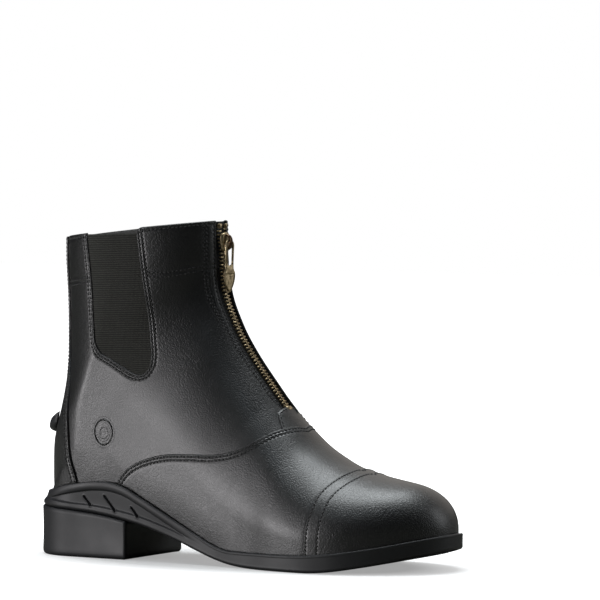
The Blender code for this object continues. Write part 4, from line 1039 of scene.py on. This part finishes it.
# A tooth as (across, share of half height, out): foot on the cord, neck, and head past the middle
TOOTH = np.array([(3.1, 1.0, -0.6), (3.1, 1.0, 0.35), (2.7, 0.8, 0.85), (1.3, 0.85, 0.95),
                  (0.6, 1.0, 1.05), (-0.55, 0.8, 0.85), (-0.75, 0.7, 0.4), (-0.75, 0.7, -0.4)])
FIRST_TOOTH, PARTED_BY = 7.0, 2.0
closed_at = np.arange(FIRST_TOOTH, SLIDER_AT - 4.5, TOOTH_PITCH)
open_at = np.arange(closed_at[-1] + TOOTH_PITCH, RIDGE[-1] - 4.0, TOOTH_PITCH)
tooth_at, tooth_side, tooth_part = [], [], []
for sign, shift in ((-1, 0.0), (1, TOOTH_PITCH / 2)):
    for places, parted in ((closed_at, 0.0), (open_at, PARTED_BY)):
        tooth_at.append(places + shift)
        tooth_side.append(np.full(len(places), sign))
        tooth_part.append(parted * ease((places + shift - SLIDER_AT + 4.0) / 9.0))
tooth_at, tooth_side, tooth_part = map(np.concatenate, (tooth_at, tooth_side, tooth_part))
rows = []
for level_sign in (-1, 1):
    half = TOOTH[:, 1] * TOOTH_TALL / 2 * level_sign
    reach = (TOOTH[:, 0] + tooth_part[:, None]) * tooth_side[:, None]
    rows.append(on_ridge(tooth_at[:, None] + half, reach, TOOTH[:, 2]))
points = np.stack(rows, 1).reshape(-1, 3)
n = len(TOOTH)
tooth_faces = [list(range(n)), list(range(2 * n - 1, n - 1, -1))] + [
    [k, k + n, (k + 1) % n + n, (k + 1) % n] for k in range(n)]
faces = [[i + 2 * n * t for i in f] for t in range(len(tooth_at)) for f in tooth_faces]
chain = piece("zip_teeth", points, faces, BRASS, "zip_metal", ["zip_chain"], auto=35)
bevel = chain.modifiers.new("rounded", "BEVEL")
bevel.width, bevel.segments, bevel.limit_method = 0.00014, 1, "ANGLE"


# The stops: a brass staple across the foot of the chain, and a shorter one crimped on each tape
# at the collar. They are pressed from the same wire as the teeth.
def tube(path, side_way, up_way, section_points):
    """Closed tube: a section (across, up) is carried along a path; ends close on their middle."""
    rings = (path[:, None] + side_way[:, None] * section_points[None, :, :1]
             + up_way[:, None] * section_points[None, :, 1:])
    rings = np.concatenate([np.repeat(path[:1, None], rings.shape[1], 1), rings,
                            np.repeat(path[-1:, None], rings.shape[1], 1)])
    return ringed(rings)


def rounded_box(half_width, half_height, power=4.0, count=16):
    """Superellipse section as (across, up) points."""
    a = np.arange(count) * 2 * np.pi / count
    c, s = np.cos(a), np.sin(a)
    return np.stack([half_width * np.sign(c) * np.abs(c)**(2 / power),
                     half_height * np.sign(s) * np.abs(s)**(2 / power)], -1)


def clamp(at_length, across_mid, half_wide, tall):
    """Rounded brass staple standing on the ridge at a place across it."""
    across = across_mid + half_wide * np.array([-1, -0.97, -0.8, 0, 0.8, 0.97, 1])
    lift = 0.5 * np.array([-1.6, -0.2, 0.75, 1, 0.75, -0.2, -1.6]) + 0.55
    size = np.array([0.55, 0.85, 1, 1, 1, 0.85, 0.55])
    at = np.full(len(across), at_length)
    path = on_ridge(at, across, lift)
    _, out, up = ridge(at)
    return tube(path, up * size[:, None], out * size[:, None], rounded_box(tall / 2, 0.55, 3.0))


top_stop = RIDGE[-1] - 3.2
for name, at_length, middle, half_wide in (("zip_bottom_stop", 4.9, 0.0, 2.9),
                                           ("zip_top_stop_outer", top_stop, -3.4, 1.5),
                                           ("zip_top_stop_inner", top_stop, 3.4, 1.5)):
    piece(name + "_brass", *clamp(at_length, middle, half_wide, 2.6), BRASS, "zip_metal", [name])


# The slider: a die-cast body that hugs the chain, wide above and narrow below, with a domed
# bridge in dark bronze that holds the pull's eye.
SLIDER_BOTTOM, SLIDER_TOP, SLIDER_HALF, SLIDER_FLARE = -6.0, 5.5, 3.5, 0.9
HINGE = (123.151, 187.393)                  # x and z of the pull's pin, from the record's joint
BRONZE = brass("dark_bronze", (0.14, 0.085, 0.05), (0.05, 0.03, 0.02), 0.20)


def plate(outline_half, low, high, bottom, top, rounding_by, count=40):
    """Closed slab on the ridge: half width as a function of height, rounded over both faces."""
    t = np.linspace(-1, 1, count)
    up = (low + high) / 2 + (high - low) / 2 * np.sin(t * np.pi / 2)
    across = np.linspace(-1, 1, 25)
    across = np.sin(across * np.pi / 2)
    rise = np.sqrt(np.clip(1 - (2 * (up - low) / (high - low) - 1)**6, 0, 1))
    half = outline_half((up - low) / (high - low)) * rise
    y = half[:, None] * across
    at = np.broadcast_to(SLIDER_AT + up[:, None], y.shape)
    rim = np.minimum((half[:, None] - np.abs(y)), np.minimum(up - low, high - up)[:, None])
    lens = fold(rim, rounding_by)
    middle, deep = (top + bottom) / 2, (top - bottom) / 2
    return closed(on_ridge(at, y, middle + deep * lens), on_ridge(at, y, middle - deep * lens))


piece("zip_slider_body",
      *plate(lambda up: SLIDER_HALF + SLIDER_FLARE * ease(up * 1.4), SLIDER_BOTTOM, SLIDER_TOP,
             0.7, 3.0, 0.8), BRASS, "zip_metal", ["zip_slider"])
turn = np.linspace(-0.12, np.pi + 0.12, 30)
arch_up, arch_out = 4.2 * np.cos(turn), 2.7 + 3.1 * np.clip(np.sin(turn), 0, None)**0.7
here, out, up = ridge(np.full(30, SLIDER_AT))
path = here + out * arch_out[:, None] + up * (arch_up - 0.2)[:, None]
tangent = np.gradient(path, axis=0)
tangent /= np.linalg.norm(tangent, axis=1, keepdims=True)
side_way = np.tile(SIDEWAYS, (30, 1))
bridge_up = np.cross(tangent, side_way)
belly = (1.1 + 0.75 * np.sin(np.clip(turn, 0, np.pi)))[:, None]
piece("zip_bridge", *tube(path, side_way * belly, bridge_up, rounded_box(1.0, 0.62, 2.6, 20)),
      BRONZE, "zip_metal", ["zip_slider"])


# The pull: a flat die-cast tab that hangs from the bridge by an open loop with two long legs and
# ends in a plain tapered plate with a raised rim. It swings on its eye and is the only joint.
# Rows of the outline: distance below the pin, half width, half width of the window
PULL = np.array([(-1.6, 0.0, 0.0), (-1.45, 1.3, 0.0), (-1.0, 2.3, 0.0), (-0.4, 3.0, 0.4),
                 (0.2, 3.4, 1.6), (0.9, 3.65, 2.0), (2.0, 3.8, 2.2), (5.0, 3.6, 2.15),
                 (9.0, 3.35, 2.0), (12.0, 3.2, 1.9), (13.0, 3.2, 1.6), (13.6, 3.2, 0.6),
                 (14.2, 3.2, 0.0), (15.4, 3.3, 0.0), (16.6, 3.9, 0.0), (17.8, 4.6, 0.0),
                 (19.0, 4.75, 0.0), (21.0, 4.6, 0.0), (23.0, 4.1, 0.0), (25.5, 3.1, 0.0),
                 (27.6, 1.9, 0.0), (28.9, 0.9, 0.0), (29.4, 0.0, 0.0)])
PULL_THICK, PULL_TURN = 1.3, math.radians(14)
WINDOW = (-0.4, 13.6)               # where the open loop begins and ends, down from the pin
FAR_OFF = 9.0                       # distance that stands for no edge nearby
down = np.unique(np.concatenate([np.linspace(PULL[0, 0], PULL[-1, 0], 150), PULL[:, 0]]))
half = np.interp(down, PULL[:, 0], PULL[:, 1])[:, None]
hole = np.interp(down, PULL[:, 0], PULL[:, 2])[:, None]
leg = np.linspace(0, 1, 12)
y = np.concatenate([-half + (half - hole) * leg, hole * np.linspace(-1, 1, 7)[1:-1],
                    hole + (half - hole) * leg], 1)
slope = np.hypot(1.0, np.gradient(half[:, 0], down))[:, None]
rim = np.minimum((half - np.abs(y)) / slope, FAR_OFF)
hole_far = np.where(hole > 0, (np.abs(y) - hole), FAR_OFF)
in_window = (down >= WINDOW[0]) & (down <= WINDOW[1])
ends = np.minimum(np.abs(down - WINDOW[0]), np.abs(down - WINDOW[1]))[:, None]
hole_far = np.where(in_window[:, None], hole_far,
                    np.hypot(np.clip(np.abs(y) - 0.6, 0, None), ends))
rim = np.clip(np.minimum(rim, np.where(hole_far < 0, 0.0, hole_far)), 0, None)
lens = fold(rim, 0.62)
plate_part = ease((down - 16.6) / 1.4)[:, None]
field = -0.30 * plate_part * ease((rim - 0.75) / 0.35) * ease((down - 18.0) / 0.8)[:, None]
thick = PULL_THICK / 2 * lens
x = HINGE[0] + thick + field * lens
back_x = HINGE[0] - thick
z = np.broadcast_to(HINGE[1] - down[:, None], y.shape)
keep = np.ones((len(down) - 1, y.shape[1] - 1), bool)
in_hole = (down[:-1] >= WINDOW[0]) & (down[1:] <= WINDOW[1])
keep[:, 11:17] = ~in_hole[:, None]
# the tab hangs a little turned on its eye, its face towards the outer side
c, s = math.cos(PULL_TURN), math.sin(PULL_TURN)
sheets = [np.stack([HINGE[0] + (at - HINGE[0]) * c + y * s, y * c - (at - HINGE[0]) * s, z], -1)
          for at in (x, back_x)]
piece("zip_pull_tab", *closed(*sheets, keep), BRASS, "zip_metal", ["zip_pull"], body="pull_tab")


# The outsole: one moulded unit of dark rubber cemented under the lasted upper. Its wall rises on
# both sides of the heel into a wing with a rounded rim, a sunk leaf and three slanted slits.
SLITS = ((43.9, 33.9, 7.8), (60.0, 32.9, 12.6), (77.6, 28.6, 7.8))      # x, z, length
SLIT_SLANT, SLIT_HALF, SLIT_DEEP = math.radians(-49.5), 0.55, 1.3
LEAF_LOW = np.array([(14.0, 33.0), (30.0, 31.4), (50.0, 30.2), (65.0, 28.2), (80.0, 25.4),
                     (95.0, 21.4), (107.0, 17.6), (117.0, 13.6), (140.0, 8.0)])


def rubber_material(name, tread_height):
    """Dark moulded rubber: a fine matt skin, dusty in broad patches; treaded where marked."""
    mat, tree, rubber, where = shader(name, (0.014, 0.0145, 0.016), 0.50)
    pores = node(tree, "TexNoise", {"Scale": 1400.0, "Detail": 3.0}, {"Vector": where})
    broad = node(tree, "TexNoise", {"Scale": 38.0, "Detail": 4.0}, {"Vector": where})
    roughened(tree, rubber, 0.46, 0.56, broad.outputs["Fac"])
    toned(tree, rubber, (0.010, 0.0105, 0.012), (0.017, 0.0175, 0.0195), broad.outputs["Fac"])
    bars = node(tree, "TexWave", {"Scale": 62.0, "Distortion": 0.0}, {"Vector": where},
                bands_direction="X", wave_profile="TRI")
    bars = node(tree, "MapRange", {"From Min": 0.35, "From Max": 0.55},
                {"Value": bars.outputs["Fac"]}).outputs[0]
    treaded = node(tree, "Attribute", attribute_name="tread").outputs["Fac"]
    pattern = maths(tree, "MULTIPLY", maths(tree, "MULTIPLY", bars, treaded), tread_height)
    height = maths(tree, "ADD", maths(tree, "MULTIPLY", pores.outputs["Fac"], 0.04), pattern)
    bumped(tree, rubber, height, 0.001, 0.6)
    return mat


RUBBER = rubber_material("rubber", 0.8)


WALL_FOOT = 0.9                     # height over the footbed where the inside of the wall starts
WALL_SHARES = (0.0, 0.3, 0.65, 1.0)
WING_THICK, RIM_TALL = 2.6, 4.8     # of the wing at its top, and of its rounded rim


def raised(flat, z):
    """Plan points lifted to heights z."""
    return np.concatenate([flat, np.broadcast_to(z, len(flat))[:, None]], 1)


def middle_line(x):
    """Plan points on the middle of the sole at x."""
    return np.stack([x, smooth(PLAN[:, 0], PLAN[:, 1], x)], -1)


def both_sides(x, middle, half):
    """Closed plan outline: out along one side and back along the other."""
    return np.concatenate([np.stack([x, middle - half], -1),
                           np.stack([x, middle + half], -1)[1:-1][::-1]])


def loop_normal(line):
    """Unit normals of a closed plan outline, pointing away from its middle."""
    tangent = np.roll(line, -1, 0) - np.roll(line, 1, 0)
    n = np.stack([tangent[:, 1], -tangent[:, 0]], -1)
    return n / np.maximum(np.linalg.norm(n, axis=1, keepdims=True), 1e-9)


def respaced(line, weight):
    """Closed outline with its points spread so that weight points fall on each millimetre."""
    shut = np.concatenate([line, line[:1]])
    step = np.linalg.norm(np.diff(shut, axis=0), axis=1) * weight
    at = np.concatenate([[0], np.cumsum(step)])
    count = int(at[-1])
    want = np.arange(count) * at[-1] / count
    return np.stack([np.interp(want, at, shut[:, k]) for k in (0, 1)], -1)


def last_slice(share):
    """Plan outline of the last at a share of the height from footbed to rim, as one open curve."""
    u = np.concatenate([1 - np.linspace(1, 0, 420)**2, np.linspace(1, 1.16, 60)[1:]])
    v = np.linspace(0.45, 1.0, 260)
    rows = []
    for sign in (-1, 1):
        p = face_point(*np.broadcast_arrays(u[:, None], sign * v))
        low = level(p[..., 0], FOOTBED) + WALL_FOOT
        over = p[..., 2] - (low + (level(p[..., 0], RIM) - low) * share)
        k = np.clip(np.argmax(over < 0, axis=1), 1, len(v) - 1)
        crossed = (over < 0).any(axis=1) & (over[:, 0] > 0)
        i = np.arange(len(u))
        t = over[i, k - 1] / np.where(crossed, over[i, k - 1] - over[i, k], 1.0)
        cut = p[i, k - 1] + (p[i, k] - p[i, k - 1]) * t[:, None]
        rows.append(cut[crossed, :2])
    return np.concatenate([rows[0][::-1], rows[1]])


HIT_FROM, HIT_TO = -4.0, 24.0       # a crossing counts between these distances


def hit(line, normal, curve):
    """Distance from each outline point inwards along its normal to a plan curve."""
    curve = np.concatenate([curve, curve[:1]])
    tangent = np.stack([-normal[:, 1], normal[:, 0]], -1)
    along = (curve[None] - line[:, None]) @ tangent[:, :, None]
    inward = (line[:, None] - curve[None]) @ normal[:, :, None]
    along, inward = along[..., 0], inward[..., 0]
    crosses = along[:, :-1] * along[:, 1:] <= 0
    t = along[:, :-1] / np.where(crosses, along[:, :-1] - along[:, 1:] + 1e-12, 1.0)
    depth = inward[:, :-1] + (inward[:, 1:] - inward[:, :-1]) * t
    counts = crosses & (depth > HIT_FROM) & (depth < HIT_TO)
    return np.where(counts, depth, HIT_TO).min(axis=1)


dense = SOLE_LENGTH * (1 - np.cos(np.linspace(0, np.pi, 2401))) / 2
outline = both_sides(dense, *plan(dense))
on_wing = (outline[:, 0] > 14) & (outline[:, 0] < 122)
outline = respaced(outline, np.where(on_wing, 2.6, 0.62))
normal = loop_normal(outline)
for _ in range(3):                          # smooths the normals over their neighbours
    normal = normal + np.roll(normal, 1, 0) + np.roll(normal, -1, 0)
    normal /= np.linalg.norm(normal, axis=1, keepdims=True)
x = outline[:, 0]
rim_z, under_z = level(x, RIM), level(x, UNDERSIDE)
# the wall stands clear of the leather, and a little more round the back of the heel
clearance = GAP + 0.3 + 0.5 * np.clip((40 - x) / 25, 0, 1)
wall = [outline - normal * (hit(outline, normal, last_slice(share)) - clearance)[:, None]
        for share in WALL_SHARES]
top_in = wall[-1]
wing = ease((128.0 - x) / 30.0)
land = ((outline - top_in) * normal).sum(axis=1)
flare = (WING_THICK - land) * wing
tall = rim_z - under_z
drop = np.minimum(RIM_TALL, 0.42 * tall)


RIM_BULGE, RIM_STEP, LEAF_DEEP = 0.45, 0.15, 0.8
LEAF_BACK_X, LEAF_FRONT_X = 13.0, 119.0
SLIT_LIP, LIP_DRAWN_IN = 0.16, 0.12


def relief(x, z, rim_z, drop, wing):
    """Height of the moulded relief on the sole's side, from the wing's leaf, slits and rim."""
    band = (rim_z - z) / np.maximum(drop, 0.5)
    rim_band = RIM_BULGE * np.sin(np.pi * np.clip(band, 0, 1))**0.8 + RIM_STEP * (band < 1)
    leaf = (ease((rim_z - drop - z) / 0.7) * ease((z - smooth(*LEAF_LOW.T, x)) / 1.7)
            * ease((x - LEAF_BACK_X) / 7.0) * ease((LEAF_FRONT_X - x) / 8.0))
    total = wing * (rim_band - LEAF_DEEP * leaf)
    c, s = math.cos(SLIT_SLANT), math.sin(SLIT_SLANT)
    for at, up, length in SLITS:
        along = np.abs((x - at) * c + (z - up) * s)
        across = (z - up) * c - (x - at) * s
        far = np.hypot(np.clip(along - length / 2 + SLIT_HALF, 0, None), across)
        total = total - SLIT_DEEP * ease((SLIT_HALF + 0.12 - far) / 0.34) * wing
        total = total + SLIT_LIP * groove(far, SLIT_HALF + 0.45, 0.3) * wing
    # the forefoot has a crisp lip under its top edge and is drawn in below it
    depth = rim_z - z
    drawn_in = LIP_DRAWN_IN * ease((depth - 1.1) / 0.8) * ease((tall - depth) / 3.0)
    return total - (1 - wing) * drawn_in


share = np.linspace(0, 1, 58)[:, None]
bottom_round, bottom_in, top_round = 2.0, 1.8, 0.9
side_z = rim_z - top_round - (tall - top_round - bottom_round) * share
side_off = flare * (1 - ease(share))
side_off = side_off + relief(x, side_z, rim_z, drop, wing)
turn = np.linspace(0, np.pi / 2, 7)[:, None]
top_off = side_off[0] - top_round * (1 - np.sin(turn))
top_z = rim_z - top_round * (1 - np.cos(turn))
bottom_off = side_off[-1] - bottom_in * (1 - np.cos(turn))
bottom_z = under_z + bottom_round * (1 - np.sin(turn))
offset = np.concatenate([top_off, side_off[1:], bottom_off[1:]])
rows = []
for flat, share in zip(wall, WALL_SHARES):
    low = level(flat[:, 0], FOOTBED) + WALL_FOOT
    rows.append(raised(flat, low + (level(flat[:, 0], RIM) - low) * share))
rows[-1][:, 2] -= 0.25
spine = middle_line(x)
floor_in = [raised(flat, level(flat[:, 0], FOOTBED))
            for flat in (spine, spine + (wall[0] - spine) * 0.5, wall[0] - normal * 1.0)]
side_rows = [raised(outline + normal * o[:, None], z)
             for o, z in zip(offset, np.concatenate([top_z, side_z[1:], bottom_z[1:]]))]
edge = outline + normal * offset[-1][:, None]
ground = [raised(flat, level(flat[:, 0], UNDERSIDE))
          for flat in (edge - normal * 2.0, spine + (edge - spine) * 0.8,
                       spine + (edge - spine) * 0.4, spine)]
rings = floor_in + rows + side_rows + ground
tread = np.repeat(np.arange(len(rings)) >= len(rings) - len(ground), len(outline)).astype(float)
piece("sole_unit", *ringed(rings), RUBBER, "sole_rubber", ["outsole"], tread=tread)


# The heel: a solid rubber block under the back of the unit, parted from it by a fine line, with
# an upright breast and a ground edge at the floor.
HEEL_BREAST_X, BREAST_ROUND = 71.4, 1.3
back_x = (HEEL_BREAST_X - BREAST_ROUND) * (1 - np.cos(np.linspace(0, np.pi / 2, 400)))
middle, half = plan(back_x, -0.4, -0.4)
arc = np.linspace(0, np.pi / 2, 10)[1:]
corner_x = HEEL_BREAST_X - BREAST_ROUND * (1 - np.sin(arc))
corner_y = BREAST_ROUND * (1 - np.cos(arc))
outer_side = np.concatenate([np.stack([back_x, middle - half], -1),
                             np.stack([corner_x, (middle - half)[-1] + corner_y], -1)])
inner_side = np.concatenate([np.stack([back_x, middle + half], -1)[1:],
                             np.stack([corner_x, (middle + half)[-1] - corner_y], -1)])
block = respaced(np.concatenate([outer_side, inner_side[::-1]]), 1.0)
block_out = loop_normal(block)
centre = np.array([36.0, 0.0])
FOOT_ROUND = ((2.2, 0.0), (1.5, 0.12), (0.9, 0.45), (0.45, 1.0), (0.15, 1.8), (0.0, 2.8))
SEAM_GAP, TOP_ROUND, WAIST_IN = 0.35, 0.5, 0.25
rings = [raised(block - block_out * inset, rise) for inset, rise in FOOT_ROUND]
side_foot = FOOT_ROUND[-1][1]
top = level(block[:, 0], UNDERSIDE) - SEAM_GAP
for rise in np.linspace(0, 1, 14)[1:]:
    # the sides stand in a little halfway up
    waist = block - block_out * WAIST_IN * np.sin(np.pi * rise)
    rings.append(raised(waist if rise < 1 else block,
                        side_foot + (top - side_foot - TOP_ROUND) * rise))
flat = block - block_out * TOP_ROUND
rings.append(raised(flat, level(flat[:, 0], UNDERSIDE) - SEAM_GAP))
for factor in (0.6, 0.2, 0.0):
    flat = centre + (block - centre) * factor
    rings.append(raised(flat, level(flat[:, 0], UNDERSIDE) - SEAM_GAP))
    rings.insert(0, raised(flat, 0.0))
tread = np.repeat(np.arange(len(rings)) < 4, len(block)).astype(float)
piece("heel_block", *ringed(rings), RUBBER, "sole_rubber", ["heel"], tread=tread)


# The insole: a bed of foam covered with knitted cloth and laid on the footbed. The cloth draws
# its edge round, and the foam is a little thinner along the middle.
INSOLE_IN, INSOLE_LIFT = 2.9, 0.5   # in from the upper's foot, and over the footbed
# Rings of the bed: share of the way out from the middle line, inset, rise
INSOLE_RINGS = ((0.0, 0, 0.0), (0.6, 0, 0.0), (1.0, 0.3, 0.0), (1.0, 0, 0.6), (1.0, 0, 2.0),
                (1.0, 0.3, 2.6), (1.0, 0.9, 2.9), (1.0, 2.0, 3.0), (0.9, 0, 2.9), (0.6, 0, 2.7),
                (0.3, 0, 2.6), (0.0, 0, 2.6))
bed_back, bed_front = HEEL_CORNER_X + INSOLE_IN, UPPER_TOE_X - INSOLE_IN
bed_x = bed_back + (bed_front - bed_back) * (1 - np.cos(np.linspace(0, np.pi, 1200))) / 2
bed = respaced(both_sides(bed_x, *plan(bed_x, LIP + INSOLE_IN, bed_back, bed_front)), 0.7)
bed_out = loop_normal(bed)
bed_spine = middle_line(bed[:, 0])
rings = []
for factor, inset, rise in INSOLE_RINGS:
    flat = bed_spine + (bed - bed_spine) * factor - bed_out * inset
    rings.append(raised(flat, level(flat[:, 0], FOOTBED) + INSOLE_LIFT + rise))
mat, tree, cloth, where = shader("insole_cloth", (0.03, 0.028, 0.026), 0.9, Sheen_Weight=0.2)
knit = node(tree, "TexVoronoi", {"Scale": 900.0}, {"Vector": where}).outputs["Distance"]
bumped(tree, cloth, knit, 0.0003, 0.6)
toned(tree, cloth, (0.045, 0.041, 0.037), (0.018, 0.017, 0.016), knit)
piece("insole_bed", *ringed(rings), mat, "insole_cloth", ["insole"])


# The spur rest: a small moulded rubber ledge with two ribs, cemented across the back seam. It
# keeps a spur's strap from sliding down.
REST_LOW, REST_HIGH, REST_REACH = 70.6, 77.8, 5.4
REST_RIBS, REST_FACE = (72.6, 75.8), 1.6
across = np.linspace(-1, 1, 61)
up = np.linspace(-1, 1, 25)
height = (REST_LOW + REST_HIGH) / 2 + (REST_HIGH - REST_LOW) / 2 * np.sin(up * np.pi / 2)
u = 1 + (height - SHAFT[0, 0]) / (COLLAR_BACK_Z - SHAFT[0, 0])
u, s = np.broadcast_arrays(u[:, None], across)
v = (1 - 0.17 * np.abs(s)) * np.where(s <= 0, -1.0, 1.0)
reach = 1.2 + REST_REACH * (1 - np.abs(s)**2.2)
round_edge = fold(np.minimum(height - REST_LOW, REST_HIGH - height), 2.2)[:, None]
ribs = 0.30 * grooves(height, REST_RIBS, 0.35)
outer = skin(u, v, REST_FACE - ribs[:, None] * (reach > 2)
             + (0.45 + 0.55 * round_edge) * reach * fold((1 - np.abs(s)) * 20, 2.0))
piece("spur_ledge", *closed(outer, skin(u, v, np.full(u.shape, REST_FACE))), RUBBER,
      "sole_rubber", ["spur_rest"])


# Camera and studio: a long lens at the photograph's angle, six soft boxes, a dim room and a
# pale floor that fades into white behind the boot, its glow lowered near it as a painted shade.
CAMERA_AT = (1.44556, -2.42196, 0.2754)
CAMERA_BACK = (0.51397, -0.85539, 0.06453)      # from the boot towards the camera
camera = bpy.data.cameras.new("camera")
camera.lens, camera.sensor_width = 288.7, 36.0
camera.shift_x, camera.shift_y = 0.1117, 0.1723
view = bpy.data.objects.new("camera", camera)
view.location = CAMERA_AT
view.rotation_euler = Vector(CAMERA_BACK).to_track_quat("Z", "Y").to_euler()
bpy.context.scene.collection.objects.link(view)
bpy.context.scene.camera = view
bpy.context.scene.view_settings.view_transform = "Standard"

world = bpy.data.worlds.new("studio")
bpy.context.scene.world = world
world.use_nodes = True
tree = world.node_tree
path = node(tree, "LightPath")
room = node(tree, "MixRGB", {"Color1": (0.030, 0.031, 0.034, 1.0), "Color2": (1.0, 1.0, 1.0, 1.0)},
            {"Fac": path.outputs["Is Camera Ray"]})
tree.links.new(room.outputs[0], tree.nodes["Background"].inputs["Color"])


def softbox(name, at, target, size, radiance, colour):
    """Rectangular area light whose brightness is given as seen, so power goes with its area."""
    light = bpy.data.lights.new(name, "AREA")
    light.shape = "RECTANGLE"
    light.size, light.size_y = size
    light.energy = radiance * math.pi * size[0] * size[1]
    light.color = colour
    ob = bpy.data.objects.new(name, light)
    ob.location = at
    ob.rotation_euler = (Vector(at) - Vector(target)).to_track_quat("Z", "Y").to_euler()
    bpy.context.scene.collection.objects.link(ob)


softbox("low_box", (-1.00, -1.16, 0.08), (0, 0, 0.08), (0.70, 0.15), 29.0, (1.0, 0.98, 1.0))
softbox("left_box", (-1.10, -1.06, 0.58), (0, 0, 0.15), (1.05, 0.56), 1.7, (1.0, 0.98, 1.0))
softbox("top_box", (-0.20, 0.22, 1.45), (0, 0, 0), (1.2, 0.85), 7.5, (0.93, 0.98, 1.0))
softbox("front_panel", (0.16, -0.95, 1.30), (0, 0, 0.1), (0.9, 0.4), 0.9, (0.80, 0.92, 1.0))
softbox("right_box", (1.20, 0.80, 0.62), (0, 0, 0.1), (0.6, 0.9), 2.2, (0.95, 0.98, 1.0))
softbox("back_panel", (-0.2, 1.9, 0.95), (0, 0, 0.1), (2.4, 1.3), 0.55, (1.0, 0.92, 0.84))

# The floor is white to the camera; what the boot mirrors of it is dimmer, as of a dark room's
mat, tree, floor_shader, where = shader("floor", (0.55, 0.55, 0.55), 0.8,
                                        Specular_IOR_Level=0.2)
# the glow is lower near the boot than away from it: a painted shade round the boot
near_boot = node(tree, "Mapping", {"Scale": (5.6, 11.5, 1.0)}, {"Vector": where})
away = node(tree, "VectorMath", links={0: near_boot.outputs[0]}, operation="LENGTH")
glow_with_painted_shade = node(tree, "MapRange", {"From Min": 0.6, "From Max": 1.25, "To Min": 0.35, "To Max": 1.2},
            {"Value": away.outputs["Value"]})
floor_shader.inputs["Emission Strength"].default_value = 1.0
tree.links.new(glow_with_painted_shade.outputs[0], floor_shader.inputs["Emission Color"])
dim = node(tree, "BsdfDiffuse", {"Color": (0.17, 0.17, 0.15, 1.0)})
path = node(tree, "LightPath")
both = node(tree, "MixShader", {}, {0: path.outputs["Is Camera Ray"], 1: dim.outputs[0],
                                    2: floor_shader.outputs[0]})
tree.links.new(both.outputs[0], tree.nodes["Material Output"].inputs["Surface"])
mesh = bpy.data.meshes.new("floor")
mesh.from_pydata([(-4, -4, 0), (4, -4, 0), (4, 4, 0), (-4, 4, 0)], [], [(0, 1, 2, 3)])
mesh.materials.append(mat)
floor = bpy.data.objects.new("floor", mesh)
bpy.context.scene.collection.objects.link(floor)
